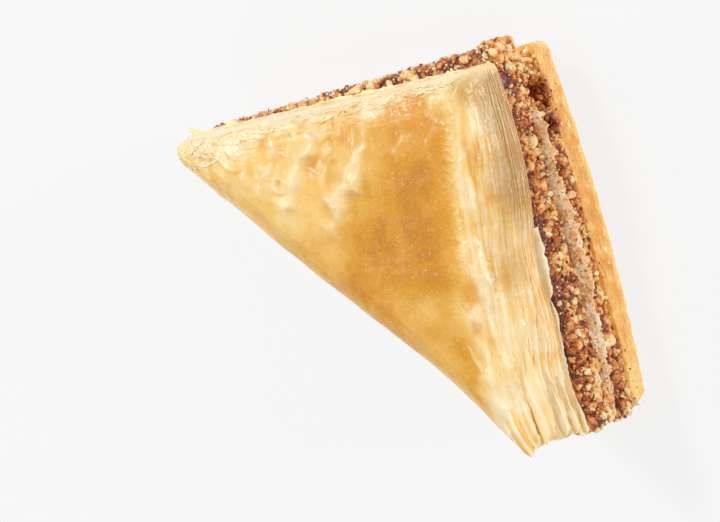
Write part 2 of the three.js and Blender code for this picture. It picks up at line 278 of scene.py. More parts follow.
# Top stack: the slope that its leaf edges follow, from the underside (0) to well inside the
# shoulder (1). Each side has its inset from the outline and its share of the stack's height.
stackSlope = {
    "at": (0, 0.25, 0.5, 0.7, 0.82, 0.92, 1),
    "front": ((0, 0.6, 1.7, 3.0, 4.2, 5.6, 7.2), (0, 0.25, 0.52, 0.76, 0.90, 0.975, 1)),
    "side": ((0.5, 0.7, 1.0, 1.4, 2.2, 3.4, 5.0), (0, 0.28, 0.58, 0.82, 0.94, 0.985, 1)),
    "back": ((0.9, 0.1, -0.2, 0.3, 1.3, 3.0, 5.2), (0, 0.26, 0.5, 0.72, 0.87, 0.96, 1)),
    "left": ((1.2, 1.3, 1.3, 1.3, 1.5, 2.4, 3.8), (0, 0.25, 0.52, 0.76, 0.90, 0.975, 1)),
    "tip": ((0.3, 0.4, 0.6, 0.8, 1.2, 2.0, 3.2), (0, 0.28, 0.58, 0.82, 0.94, 0.985, 1)),
    "frontRim": 4.7,  # inset of the front rim that the front's own curve is drawn for
    "lowFrontAt": (-31, -24, -13, -6, 0, 8, 16, 24, 31),  # how far out the lowest leaf stands, along x
    "lowFront": (-0.8, -1.4, -0.8, -1.3, -1.4, 0.2, 1.1, 0.5, -0.3),
    "highFront": (-3.4, -4.7, -5.0),  # and the rim, from the square corner on
    "leftNotch": (0.5, 1.3),  # where the leaves' ends part at the front left corner, and how deep
    "cornerSharpness": 45,
}
edgeNames = ("front", "side", "back", "left", "tip")
slopeTables = {
    edge: tuple(softTable(stackSlope["at"], values) for values in stackSlope[edge])
    for edge in edgeNames
}

# Folds in the top leaf: from, to, width on the left and on the right of that line, rise.
topFolds = [
    ((17.8, 8.8), (27.6, 2.2), 2.1, 1.2, 1.15),
    ((20.6, 4.4), (25.4, -1.4), 1.5, 1.7, -0.5),
    ((12.8, 0.6), (18.8, -5.4), 2.2, 1.2, 1.15),
    ((17.8, -2.0), (21.8, -6.2), 1.4, 1.0, 0.55),
    ((23.0, -0.8), (28.3, -3.8), 1.3, 1.0, 0.7),
    ((21.6, -6.2), (28.0, -8.6), 1.2, 1.1, 0.45),
    ((22.8, 12.9), (28.6, 10.0), 1.4, 1.1, 0.75),
    ((24.0, 18.4), (28.2, 18.0), 0.9, 0.9, 0.6),
    ((24.6, 23.0), (28.4, 22.4), 0.8, 1.0, 0.5),
    ((22.6, -14.2), (27.6, -15.0), 0.9, 1.5, 0.45),
    ((23.6, -20.2), (28.0, -20.8), 0.8, 1.4, 0.35),
    ((-9.0, -22.5), (-27.0, -24.0), 0.6, 1.4, 0.8),
]

# The edge of a leaf that ends on the top.
topSeam = ((9.5, 4.2), (3.4, -0.4), (1.7, -9.5), (0.1, -21.7), (-1.7, -26.5))
topRelief = {
    "seamStep": 0.07,
    "blister": ((19.2, 11.2), 1.15, 0.5),  # place, radius, rise
    "swell": 0.35,  # broad unevenness
    "gathers": 0.35,  # pleats square to the long cut side
    "crumple": 0.42,  # creases near the back tip
    "cockle": 0.03,
    "rimCracks": 0.12,  # fine cracks where the top leaf turns down
}


def crease(field):  # 1 along soft ridges, falling off on both sides
    return (1 - np.minimum(np.abs(field) * 1.5, 1)) ** 2


def alongFold(plan, start, end, left, right, rise):
    start, end = np.array(start), np.array(end)
    length = np.linalg.norm(end - start)
    direction = (end - start) / length
    t = (plan - start) @ direction
    beyond = np.maximum(0, np.maximum(-t / 2.6, t - length))  # it runs out gently at its inner end
    across = (plan[..., 0] - start[0]) * direction[1] - (plan[..., 1] - start[1]) * direction[0]
    across = across + 0.45 * np.sin(t * 0.7 + start[0]) + 0.2 * np.sin(t * 1.9 + start[1])
    width = np.where(across < 0, left, right)
    uneven = 0.75 + 0.25 * np.sin(t * 1.3 + start[0])
    return rise * np.exp(-np.abs(across / width) ** 1.6) * bump(beyond, 1.8) * uneven


def foldShare(plan):  # 1 on the crests of the folds, below 0 in the hollows
    return np.clip(sum(alongFold(plan, *fold) for fold in topFolds) / 0.75, -1, 1)


def seamSide(plan):  # how far a place lies beyond the seam, towards the front left corner
    x, y = plan[..., 0], plan[..., 1]
    line = np.array(topSeam)
    order = np.argsort(line[:, 1])
    beyond = np.interp(y, line[order, 1], line[order, 0]) - x
    return beyond + 0.35 * np.sin(y * 0.9) + 0.15 * np.sin(y * 2.7)


def topSurface(plan, share):  # height of the top leaf; share runs from 0 at the centre to 1 at the rim
    x, y = plan[..., 0], plan[..., 1]
    sizes, relief = layerSizes, topRelief
    height = sizes["topHeight"] + sizes["topTilt"][0] * x + sizes["topTilt"][1] * y
    height = height + sizes["topCrown"] * (1 - np.clip(share, 0, 1) ** 4)
    fromSide = depthFrom("side", plan)
    rough = relief["swell"] * waver(plan, 0.075, 2) + 0.5 * relief["swell"] * waver(plan, 0.19, 3)
    stray = np.column_stack([waver(plan, 0.12, 5), waver(plan, 0.12, 6)])
    stretched = np.column_stack([x * 0.14, y * 0.34]) + 0.5 * stray
    nearSide = smoothstep(13, 3, fromSide + 2 * waver(plan, 0.15, 7)) * smoothstep(-22, -4, y)
    rough = rough + relief["gathers"] * crease(waver(stretched, 1.0, 8)) * nearSide
    nearTip = smoothstep(4, 22, y) * smoothstep(16, 4, fromSide)
    warped = plan * 0.3 + 0.4 * np.column_stack([waver(plan, 0.2, 9), waver(plan, 0.2, 10)])
    rough = rough + relief["crumple"] * crease(waver(warped, 1.0, 11)) * nearTip
    rough = rough + relief["cockle"] * waver(plan, 0.55, 12, 2)
    nearRim = bump(depthFrom("front", plan) - 6.5, 2.2) + 0.8 * bump(fromSide - 3.0, 1.6)
    rough = rough + relief["rimCracks"] * crease(waver(plan, 0.55, 13, 2)) * nearRim
    for fold in topFolds:
        rough = rough + alongFold(plan, *fold)
    blister, radius, rise = relief["blister"]
    away = np.linalg.norm(plan - np.array(blister), axis=-1)
    rough = rough + rise * (bump(away - radius, 0.45) - 0.6 * bump(away, 0.7))
    seam = relief["seamStep"] * smoothstep(-0.25, 0.25, seamSide(plan))
    rough = rough + seam * smoothstep(7, 3, y)
    return height + np.minimum(rough, 0.8 + 1.3 * smoothstep(-12, 6, x))


def smoothLine(at, values, where, blur=2.5):  # a table along x, read with soft bends
    total = sum(np.interp(where + shift, at, values) for shift in np.linspace(-blur, blur, 9))
    return total / 9


lowFrontLine = smoothLine(stackSlope["lowFrontAt"], stackSlope["lowFront"], outline["points"][:, 0])


def slopePlace(q):  # a point on the stack's slope for each outline sample
    q = np.zeros(count) + q
    points = outline["points"]
    highFront = curve(stackSlope["highFront"], outline["alongFront"])
    shares, heights = [], []
    for edge in edgeNames:
        inset = np.interp(q, *slopeTables[edge][0])
        if edge == "front":
            inset = inset / stackSlope["frontRim"] * (lowFrontLine - highFront) - lowFrontLine
        if edge == "back":
            inset = inset + hollowOf(points)
        if edge == "left":
            inset = inset + stackSlope["leftNotch"][1] * bump(q - stackSlope["leftNotch"][0], 0.08)
        whole = depthFrom(edge, centre)
        reach = np.maximum(whole - depthFrom(edge, points), 0.02 * whole)
        shares.append(np.minimum((whole - inset) / reach, 3))
        heights.append(np.interp(q, *slopeTables[edge][1]))
    shares, heights = np.array(shares), np.array(heights)
    sharpness = stackSlope["cornerSharpness"]
    share = -np.log(np.exp(-sharpness * shares).sum(axis=0)) / sharpness
    weights = np.exp(-18 * (shares - shares.min(axis=0)))
    height = (weights * heights).sum(axis=0) / weights.sum(axis=0)
    plan = centre + (points - centre) * share[:, None]
    low = boundaries["upperFillingTop"] + layerSizes["gap"] / 2
    top = topSurface(plan, share * crownEdge)
    return withHeight(plan, low + (top - low) * height)


def slopeNormal(q):
    place = slopePlace(q)
    up = slopePlace(q + 0.02) - slopePlace(q - 0.02)
    around = np.roll(place, -4, axis=0) - np.roll(place, 4, axis=0)
    normal = np.cross(around, up)
    normal /= np.linalg.norm(normal, axis=1)[:, None] + 1e-9
    for _ in range(6):  # turned gently round the corners
        normal = normal + np.roll(normal, 2, axis=0) + np.roll(normal, -2, axis=0)
        normal /= np.linalg.norm(normal, axis=1)[:, None] + 1e-9
    return normal


topLeaves = {
    "count": 15,
    "thickness": 0.18,
    "topEdge": 0.84,  # where on the slope the top leaf ends
    "frontShare": (0.46, 0.66),  # share of the front they crowd into, near the square corner and far
    "wander": 1.3,  # how far an edge strays, in leaf spacings
    "lift": 0.22,  # how far an edge lifts off the leaf below
    "tuck": 0.045,  # how far each leaf runs on under the next
    "drape": 0.5,  # how much further down the top leaf hangs on the hypotenuse
    "fusedStep": 0.17,  # above them the leaves are stuck together, in soft steps that come and go
    "fusedSpacing": 1.15,
    "slopeLength": 13,
    # A leaf from its edge up: share of the way to the next edge, and how pale an edge it is, partly
    # painted glow of light through the thin edge.
    "rows": ((0.0, 1.0), (0.1, 0.9), (0.28, 0.35), (0.55, 0.0), (1.0, 0.0)),
    "underside": ((0.5, 0.0), (0.0, 0.6)),
    # The top leaf: rows on the slope, on the top, and round its centre.
    "slopeRows": 25, "topRows": 58, "centreRows": 7,
}


def leafEdges():  # where each leaf ends on the slope, all the way round
    sizes = topLeaves
    spacing = sizes["topEdge"] / sizes["count"]
    plan = outline["points"]
    edges = []
    for k in range(sizes["count"] + 1):
        stray = 1.7 * waver(plan, 0.05, 20 + 3.1 * k) + 0.7 * waver(plan, 0.17, 50 + k)
        stray = stray + 0.16 * waver(plan, 0.8, 80 + k, 2)
        calmer = 0.3 if k == 0 else 1  # the lowest edge keeps to its place
        edge = spacing * (k + 1.6 * (hashed(k + 5) - 0.5) + sizes["wander"] * stray * calmer)
        lowest = edges[-1] + 0.04 * spacing if edges else 0.0
        edges.append(np.maximum(edge, lowest))
    behind = outline["follows"]["back"] * smoothstep(2, 12, depthFrom("tip", plan))
    behind = behind * smoothstep(2, 9, depthFrom("left", plan))
    nearSquare, far = sizes["frontShare"]
    free = 1 - nearSquare - (far - nearSquare) * smoothstep(0.35, 0.9, outline["alongFront"])
    ahead = smoothstep(0.25, 0.9, outline["follows"]["front"]) * free
    return [edge * (1 - sizes["drape"] * behind) * (1 - ahead) for edge in edges]


def leafLift(k):
    plan = outline["points"]
    lift = topLeaves["lift"] * np.maximum(0, waver(plan, 0.16, 110 + k) + 0.1)
    lift = lift + 0.05 * (1 + waver(plan, 0.9, 130 + k)) + 0.03 * waver(plan, 2.2, 150 + k)
    return lift * (0.45 + 0.75 * smoothstep(0.05, 0.6, outline["alongFront"]))


def leafShell(k, edge, nextEdge):
    thickness, lift = topLeaves["thickness"], leafLift(k)
    rows, masks = [], {"edge": [], "across": []}

    def addRow(q, offset, edgeMask):
        rows.append(slopePlace(q) + slopeNormal(q) * (np.zeros(count) + offset)[:, None])
        masks["edge"].append(np.full(count, edgeMask))
        masks["across"].append(q)

    for v, edgeMask in topLeaves["rows"]:
        belly = 0.06 * math.sin(math.pi * v)
        offset = thickness * (1 - 0.8 * v) + lift * (1 - v) ** 2 + belly
        addRow(edge + v * (nextEdge - edge), offset, edgeMask)
    addRow(nextEdge + topLeaves["tuck"], -0.5, 0.0)
    for v, edgeMask in topLeaves["underside"]:  # back down to the edge
        addRow(edge + v * (nextEdge - edge), -0.1 * v + lift * (1 - v) ** 2, edgeMask)
    return np.vstack(rows), ringFaces(len(rows), wrap=True), masks["edge"], masks["across"]


def fusedEdges(q):  # leaves stuck together by syrup: their relief, and where an edge shows
    sizes = topLeaves
    along = outline["arc"]
    bend = 1.1 * waver(np.column_stack([0.045 * along, 2.0 * q]), 1.0, 170, 2)
    bend = bend + 0.25 * waver(np.column_stack([0.3 * along, 2.0 * q]), 1.0, 171)
    field = sizes["slopeLength"] * q / sizes["fusedSpacing"] + bend
    fall = 1 - (field - np.floor(field))
    shown = smoothstep(-0.25, 0.45, waver(np.column_stack([0.11 * along, 5.0 * q]), 1.0, 172, 2))
    shown = shown * (1 - 0.7 * outline["follows"]["back"]) * (1 - bump(outline["fromSquare"], 2.5))
    flute = 0.13 * waver(np.column_stack([0.06 * along, 9.0 * q]), 1.0, 173, 2)
    flute = flute * (1 - 0.7 * outline["follows"]["back"]) * (1 - bump(outline["fromSquare"], 3.5))
    return sizes["fusedStep"] * shown * fall**1.4 + flute, 0.9 * shown * fall**5


# A torn edge of the outermost leaf runs along the front, where the top turns down.
tornEdge = {"at": -25.2, "from": -2.5, "to": 20.5, "height": 0.24}


def tornEdgeAt(plan):  # how far inside the torn edge a place lies, and how much of it shows there
    x = plan[..., 0]
    line = tornEdge["at"] + 0.3 * np.sin(x * 0.35) + 0.12 * np.sin(x * 1.3 + 1.0)
    line = line + 0.06 * np.sin(x * 3.1)
    shows = smoothstep(tornEdge["from"] - 1, tornEdge["from"] + 1, x)
    shows = shows * smoothstep(tornEdge["to"] + 1.5, tornEdge["to"] - 1.5, x)
    return plan[..., 1] - line, shows


def topRim():  # where the slope ends in the top, and its share of the way out to the outline
    rim = slopePlace(1.0)[:, :2]
    away = np.linalg.norm(rim - centre, axis=1)
    return rim, away / np.linalg.norm(outline["points"] - centre, axis=1)


def topSheet(edge):
    sizes, thickness, lift = topLeaves, topLeaves["thickness"], leafLift(0)
    rows, edgeMask, across = [], [], []
    rim, rimShare = topRim()
    inner = centre + (rim - centre) * 0.95
    rows += [withHeight(inner, topSurface(inner, 0.95 * rimShare * crownEdge) - 0.1)]
    rows += [slopePlace(edge) + slopeNormal(edge) * lift[:, None]]
    edgeMask += [0.0, 0.6]
    across += [edge * 0 + 1, edge]
    for v in np.r_[0, 0.02, np.linspace(0.05, 1, sizes["slopeRows"])]:
        q = edge + v * (1 - edge)
        relief, shown = fusedEdges(q)
        fade = smoothstep(0, 0.12, v) * smoothstep(1.02, 0.9, q)
        offset = thickness * (1 - v) + lift * max(0, 1 - 2.5 * v) ** 2 + relief * fade
        raised = np.array((0, 0, thickness * v))
        rows.append(slopePlace(q) + slopeNormal(q) * offset[:, None] + raised)
        edgeMask.append(np.maximum(max(0, 1 - v / 0.05), shown * fade))
        across.append(q)
    for share in np.r_[
        np.linspace(0.985, 0.3, sizes["topRows"]), np.linspace(0.26, 0.03, sizes["centreRows"])
    ]:
        inner = centre + (rim - centre) * share
        rows.append(withHeight(inner, topSurface(inner, share * rimShare * crownEdge) + thickness))
        edgeMask.append(0.0)
        across.append(edge * 0 + 1 + (1 - share) * 2)
    for row in rows[2:]:
        inside, shows = tornEdgeAt(row[:, :2])
        lip = tornEdge["height"] * shows * smoothstep(-0.16, 0.16, inside)
        row[:, 2] += lip * smoothstep(4.0, 0.3, inside)
    peak = topSurface(centre[None], np.zeros(1))[0] + thickness
    vertices, faces = closedBody(rows, np.r_[centre, peak - 0.6], np.r_[centre, peak])
    edgeMask = [np.zeros(count) + value for value in edgeMask] + [np.zeros(2)]
    return vertices, faces, edgeMask, across + [np.zeros(2) + 3]


def stackCore():  # fills the stack behind the leaf edges
    rows = []
    for q in (0.02, 0.15, 0.3, 0.45, 0.6, 0.75, 0.88):
        rows.append(slopePlace(q) - slopeNormal(q) * 0.5)
    rim, rimShare = topRim()
    for share in (0.95, 0.7, 0.4):
        inner = centre + (rim - centre) * share
        rows.append(withHeight(inner, topSurface(inner, share * rimShare * crownEdge) - 0.7))
    low = layerSizes["upperFillingTop"] + 0.2
    rows.insert(0, withHeight(centre + (rows[0][:, :2] - centre) * 0.97, low))
    peak = topSurface(centre[None], np.zeros(1))[0]
    return closedBody(rows, np.r_[centre, low], np.r_[centre, peak - 0.9])


def surfaceNormals(grid):  # of a grid of points, rows by columns
    along = np.gradient(grid, axis=0)
    across = np.gradient(grid, axis=1)
    normal = np.cross(along, across)
    return normal / (np.linalg.norm(normal, axis=2)[..., None] + 1e-9)


def thinSheet(grid, thickness):  # a closed leaf from a grid of points, thinner at its rim
    rows, columns = grid.shape[:2]
    normal = surfaceNormals(grid)
    taper = np.full((rows, columns), 1.0)
    taper[0] = taper[-1] = 0.5
    taper[:, 0] = taper[:, -1] = 0.5
    offset = normal * (taper * thickness / 2)[..., None]
    vertices = np.vstack([(grid + offset).reshape(-1, 3), (grid - offset).reshape(-1, 3)])
    index = np.arange(rows * columns).reshape(rows, columns)
    a, b = index[:-1, :-1].ravel(), index[1:, :-1].ravel()
    c, d = index[1:, 1:].ravel(), index[:-1, 1:].ravel()
    under = rows * columns
    faces = np.column_stack([a, b, c, d]).tolist()
    faces += (np.column_stack([d, c, b, a]) + under).tolist()
    border = np.r_[index[0, :-1], index[:-1, -1], index[-1, :0:-1], index[:0:-1, 0]]
    following = np.roll(border, -1)
    faces += np.column_stack([border, following, following + under, border + under]).tolist()
    return vertices, faces


def throughPoints(points, amount):  # a smooth line through the given points
    points = np.array(points, dtype=float)
    padded = np.vstack([2 * points[0] - points[1], points, 2 * points[-1] - points[-2]])
    line = []
    for t in np.linspace(0, len(points) - 1, amount):
        i = min(int(t), len(points) - 2)
        f = t - i
        p0, p1, p2, p3 = padded[i : i + 4]
        bend = 2 * p0 - 5 * p1 + 4 * p2 - p3
        twist = 3 * p1 - p0 - 3 * p2 + p3
        line.append(0.5 * (2 * p1 + (p2 - p0) * f + bend * f**2 + twist * f**3))
    return np.array(line)


print("shapes ready")


# Materials
def nodeMaterial(name):
    material = bpy.data.materials.new(name)
    material.use_nodes = True
    nodes, links = material.node_tree.nodes, material.node_tree.links
    nodes.clear()
    output = nodes.new("ShaderNodeOutputMaterial")
    shader = nodes.new("ShaderNodeBsdfPrincipled")
    links.new(shader.outputs["BSDF"], output.inputs["Surface"])
    return material, nodes, links, shader


def srgb(r, g, b):  # a colour as seen on screen, 0 to 255
    def linear(value):
        value /= 255
        return value / 12.92 if value <= 0.04045 else ((value + 0.055) / 1.055) ** 2.4
    return (linear(r), linear(g), linear(b), 1.0)


def newGroup(name, inputs, outputs):
    group = bpy.data.node_groups.new(name, "ShaderNodeTree")
    for socketName, kind, default in inputs:
        socket = group.interface.new_socket(socketName, in_out="INPUT", socket_type=kind)
        if default is not None:
            socket.default_value = default
    for socketName, kind in outputs:
        group.interface.new_socket(socketName, in_out="OUTPUT", socket_type=kind)
    nodes = group.nodes
    return group, nodes, group.links, nodes.new("NodeGroupInput"), nodes.new("NodeGroupOutput")


def addMath(nodes, links, operation, a, b=None, c=None, clamp=False):
    node = nodes.new("ShaderNodeMath")
    node.operation = operation
    node.use_clamp = clamp
    for i, value in enumerate((a, b, c)):
        if value is None:
            continue
        if isinstance(value, (int, float)):
            node.inputs[i].default_value = value
        else:
            links.new(value, node.inputs[i])
    return node.outputs[0]


def addNoise(nodes, links, vector, scale, detail=3.0, roughness=0.55):
    node = nodes.new("ShaderNodeTexNoise")
    node.inputs["Detail"].default_value = detail
    node.inputs["Roughness"].default_value = roughness
    if isinstance(scale, (int, float)):
        node.inputs["Scale"].default_value = scale
    else:
        links.new(scale, node.inputs["Scale"])
    links.new(vector, node.inputs["Vector"])
    return node.outputs["Fac"]


def addRange(nodes, links, value, low, high, newLow=0.0, newHigh=1.0):
    node = nodes.new("ShaderNodeMapRange")
    node.interpolation_type = "SMOOTHSTEP"
    limits = {"From Min": low, "From Max": high, "To Min": newLow, "To Max": newHigh}
    for socket, number in limits.items():
        node.inputs[socket].default_value = number
    links.new(value, node.inputs["Value"])
    return node.outputs["Result"]


def addMix(nodes, links, factor, first, second):
    node = nodes.new("ShaderNodeMix")
    node.data_type = "RGBA"
    links.new(factor, node.inputs["Factor"])
    for socket, value in ((node.inputs[6], first), (node.inputs[7], second)):
        if isinstance(value, tuple):
            socket.default_value = value
        else:
            links.new(value, socket)
    return node.outputs[2]


def addBump(nodes, links, height, strength, distance):
    node = nodes.new("ShaderNodeBump")
    node.inputs["Strength"].default_value = strength
    node.inputs["Distance"].default_value = distance
    links.new(height, node.inputs["Height"])
    return node.outputs["Normal"]


def placeGroup(nodes, links, group, values):
    node = nodes.new("ShaderNodeGroup")
    node.node_tree = group
    for key, value in values.items():
        if isinstance(value, (int, float)):
            node.inputs[key].default_value = value
        else:
            links.new(value, node.inputs[key])
    return node


def makeMottleGroup():  # large soft patches, fine freckles and a grain, for pastry and nut alike
    group, nodes, links, inp, out = newGroup(
        "mottle",
        [("Vector", "NodeSocketVector", None), ("Patch Scale", "NodeSocketFloat", 120.0),
         ("Freckle Scale", "NodeSocketFloat", 1500.0), ("Grain Scale", "NodeSocketFloat", 4000.0)],
        [("Patches", "NodeSocketFloat"), ("Freckles", "NodeSocketFloat"), ("Grain", "NodeSocketFloat")],
    )
    patches = addNoise(nodes, links, inp.outputs["Vector"], inp.outputs["Patch Scale"], 4.0)
    freckles = addNoise(nodes, links, inp.outputs["Vector"], inp.outputs["Freckle Scale"], 2.0)
    grain = addNoise(nodes, links, inp.outputs["Vector"], inp.outputs["Grain Scale"], 3.0, 0.6)
    links.new(addRange(nodes, links, patches, 0.35, 0.65), out.inputs["Patches"])
    links.new(addRange(nodes, links, freckles, 0.58, 0.72), out.inputs["Freckles"])
    links.new(grain, out.inputs["Grain"])
    return group


def makeCellGroup():  # grains that touch: a shade for each, and the distance from its middle
    group, nodes, links, inp, out = newGroup(
        "packedGrains",
        [("Vector", "NodeSocketVector", None), ("Scale", "NodeSocketFloat", 1500.0)],
        [("Shade", "NodeSocketFloat"), ("Distance", "NodeSocketFloat")],
    )
    cells = nodes.new("ShaderNodeTexVoronoi")
    links.new(inp.outputs["Scale"], cells.inputs["Scale"])
    links.new(inp.outputs["Vector"], cells.inputs["Vector"])
    shade = nodes.new("ShaderNodeSeparateColor")
    links.new(cells.outputs["Color"], shade.inputs["Color"])
    links.new(shade.outputs["Red"], out.inputs["Shade"])
    links.new(cells.outputs["Distance"], out.inputs["Distance"])
    return group


mottleGroup = makeMottleGroup()
cellGroup = makeCellGroup()


def objectVector(nodes):
    return nodes.new("ShaderNodeTexCoord").outputs["Object"]


def maskOf(nodes, name):
    node = nodes.new("ShaderNodeAttribute")
    node.attribute_name = name
    return node.outputs["Fac"]


def vectorOf(nodes, name):
    node = nodes.new("ShaderNodeAttribute")
    node.attribute_name = name
    return node.outputs["Vector"]


def addRamp(nodes, links, value, stops):
    node = nodes.new("ShaderNodeValToRGB")
    elements = node.color_ramp.elements
    while len(elements) < len(stops):
        elements.new(0.5)
    for element, (at, colour) in zip(elements, stops):
        element.position, element.color = at, colour
    links.new(value, node.inputs["Fac"])
    return node.outputs["Color"]


def addStretch(nodes, links, vector, scale):
    node = nodes.new("ShaderNodeMapping")
    node.inputs["Scale"].default_value = scale
    links.new(vector, node.inputs["Vector"])
    return node.outputs["Vector"]


pastryLook = {
    "stops": [(0.0, srgb(255, 234, 188)), (0.35, srgb(250, 204, 114)),  # pale, butter
              (0.72, srgb(226, 158, 34)), (1.0, srgb(200, 124, 6))],  # golden, deep
    "toasted": srgb(228, 152, 14),
    # colour of the painted shade on the front's lower leaves and the loose leaf
    "paintedShadeColour": srgb(192, 142, 70),
    # cream of the pale leaf edges, also used for painted highlights, painted glow and glints
    "edgeLight": srgb(254, 243, 212),
    "patches": 150.0, "freckleScale": 1900.0, "grainScale": 3600.0,
    "leastGold": 0.08, "goldTone": 0.8, "patchTone": 0.2, "streakTone": 1.3, "paintedGlints": 0.24,
    "streakStretch": (0.07, 1.1, 1.0), "hairStretch": (0.16, 4.0, 3.0),
    "bump": 0.5, "bumpDepth": 0.00024,
    "roughness": (0.22, 0.46),
    "coat": 0.2, "coatRoughness": 0.16,
    "glow": 0.25, "glowRadius": (1.0, 0.7, 0.4), "glowReach": 0.0008,  # light that passes through
}


def addGlaze(shader, look):  # a syrupy coat over pastry or nut that lets some light through
    shader.inputs["Coat Weight"].default_value = look["coat"]
    shader.inputs["Coat Roughness"].default_value = look["coatRoughness"]
    shader.subsurface_method = "BURLEY"
    shader.inputs["Subsurface Weight"].default_value = look["glow"]
    shader.inputs["Subsurface Radius"].default_value = look["glowRadius"]
    shader.inputs["Subsurface Scale"].default_value = look["glowReach"]


def phylloMaterial():
    look = pastryLook
    material, nodes, links, shader = nodeMaterial("glazedPhyllo")
    vector = objectVector(nodes)
    run = vectorOf(nodes, "run")  # along the edge, up the slope, leaf
    mottle = placeGroup(nodes, links, mottleGroup, {
        "Vector": vector, "Patch Scale": look["patches"],
        "Freckle Scale": look["freckleScale"], "Grain Scale": look["grainScale"],
    })
    alongRun = addStretch(nodes, links, run, look["streakStretch"])
    streaks = addNoise(nodes, links, alongRun, 1.0, 3.0, 0.55)
    alongRun = addStretch(nodes, links, run, look["hairStretch"])
    hairs = addNoise(nodes, links, alongRun, 1.0, 2.0, 0.6)

    # Tone: browned places, streaks along the leaves, soft patches, and painted shade.
    streakShare = addMath(nodes, links, "SUBTRACT", streaks, 0.5)
    streakShare = addMath(nodes, links, "MULTIPLY", streakShare, maskOf(nodes, "lay"))
    gold = maskOf(nodes, "gold")
    tone = addMath(nodes, links, "MULTIPLY_ADD", gold, look["goldTone"], look["leastGold"])
    streakTone = addMath(nodes, links, "MULTIPLY", streakShare, look["streakTone"])
    tone = addMath(nodes, links, "ADD", tone, streakTone)
    patchShare = addMath(nodes, links, "SUBTRACT", mottle.outputs["Patches"], 0.5)
    patchTone = addMath(nodes, links, "MULTIPLY", patchShare, look["patchTone"])
    tone = addMath(nodes, links, "ADD", tone, patchTone, clamp=True)
    colour = addRamp(nodes, links, tone, look["stops"])
    colour = addMix(nodes, links, maskOf(nodes, "toast"), colour, look["toasted"])
    # Painted shade, a greyish brown, where its mask lays it on.
    colour = addMix(nodes, links, maskOf(nodes, "paintedShade"), colour, look["paintedShadeColour"])

    # Pale hairs, pale edges broken up (partly painted highlights and glow), and small painted glints.
    hairMask = addRange(nodes, links, hairs, 0.53, 0.66, 0.0, 0.3)
    hairMask = addMath(nodes, links, "MULTIPLY", hairMask, maskOf(nodes, "lay"))
    colour = addMix(nodes, links, hairMask, colour, look["edgeLight"])
    broken = addRange(nodes, links, addNoise(nodes, links, vector, 260.0, 2.0), 0.4, 0.6, 0.35, 1.0)
    edgeMask = addMath(nodes, links, "MULTIPLY", maskOf(nodes, "edge"), broken)
    colour = addMix(nodes, links, edgeMask, colour, look["edgeLight"])
    paintedGlints = addMath(nodes, links, "MULTIPLY", mottle.outputs["Freckles"], look["paintedGlints"])
    colour = addMix(nodes, links, paintedGlints, colour, look["edgeLight"])
    links.new(colour, shader.inputs["Base Color"])

    grain = mottle.outputs["Grain"]
    wrinkle = addNoise(nodes, links, vector, 620.0, 3.0, 0.5)
    height = addMath(nodes, links, "ADD", addMath(nodes, links, "MULTIPLY", grain, 0.5), wrinkle)
    height = addMath(nodes, links, "ADD", height, addMath(nodes, links, "MULTIPLY", streakShare, 1.5))
    links.new(addBump(nodes, links, height, look["bump"], look["bumpDepth"]), shader.inputs["Normal"])
    links.new(addRange(nodes, links, grain, 0.3, 0.7, *look["roughness"]), shader.inputs["Roughness"])
    addGlaze(shader, look)
    return material


# What the nuts and the syrupy leaves have in common.
nutGlaze = {
    "freckleScale": 2600.0, "grainScale": 4200.0, "patchTone": 0.2, "bumpDepth": 0.00025,
    "coatRoughness": 0.13, "glow": 0.35, "glowRadius": (1.0, 0.55, 0.3), "glowReach": 0.001,
}


def nutMaterial(name, look):  # the stops run from pale to dark
    look = dict(nutGlaze, **look)
    material, nodes, links, shader = nodeMaterial(name)
    vector = objectVector(nodes)
    mottle = placeGroup(nodes, links, mottleGroup, {
        "Vector": vector, "Patch Scale": look["patches"],
        "Freckle Scale": look["freckleScale"], "Grain Scale": look["grainScale"],
    })
    cells = placeGroup(nodes, links, cellGroup, {"Vector": vector, "Scale": look["cells"]})
    patchShare = addMath(nodes, links, "SUBTRACT", mottle.outputs["Patches"], 0.5)
    patchTone = addMath(nodes, links, "MULTIPLY", patchShare, look["patchTone"])
    cellShare = addMath(nodes, links, "SUBTRACT", cells.outputs["Shade"], 0.5)
    cellTone = addMath(nodes, links, "MULTIPLY", cellShare, look["cellTone"])
    tone = addMath(nodes, links, "ADD", maskOf(nodes, "tone"), patchTone)
    tone = addMath(nodes, links, "ADD", tone, cellTone)
    freckleTone = addMath(nodes, links, "MULTIPLY", mottle.outputs["Freckles"], look["freckles"])
    tone = addMath(nodes, links, "ADD", tone, freckleTone, clamp=True)
    colour = addRamp(nodes, links, tone, look["stops"])
    links.new(colour, shader.inputs["Base Color"])
    grain = mottle.outputs["Grain"]
    height = addMath(nodes, links, "MULTIPLY", grain, 0.6)
    height = addMath(nodes, links, "SUBTRACT", height, cells.outputs["Distance"])
    links.new(addBump(nodes, links, height, look["bump"], look["bumpDepth"]), shader.inputs["Normal"])
    links.new(addRange(nodes, links, grain, 0.3, 0.7, *look["roughness"]), shader.inputs["Roughness"])
    addGlaze(shader, look)
    return material


glazedPhyllo = phylloMaterial()
choppedNut = nutMaterial("choppedNut", {
    "stops": [(0.0, srgb(255, 236, 184)), (0.2, srgb(252, 206, 130)), (0.45, srgb(236, 162, 80)),
              (0.7, srgb(204, 110, 42)), (0.88, srgb(162, 74, 28)), (1.0, srgb(116, 46, 20))],
    "patches": 700.0, "cells": 2200.0, "cellTone": 0.25, "freckles": 0.5,
    "bump": 0.6, "roughness": (0.26, 0.46), "coat": 0.32,
})
nutPaste = nutMaterial("nutPaste", {
    "stops": [(0.0, srgb(255, 228, 168)), (0.22, srgb(250, 194, 112)), (0.45, srgb(228, 148, 66)),
              (0.66, srgb(192, 102, 38)), (0.84, srgb(148, 62, 24)), (1.0, srgb(96, 36, 16))],
    "patches": 500.0, "cells": 1700.0, "cellTone": 0.42, "freckles": 0.45,
    "bump": 0.5, "roughness": (0.24, 0.44), "coat": 0.2,
})
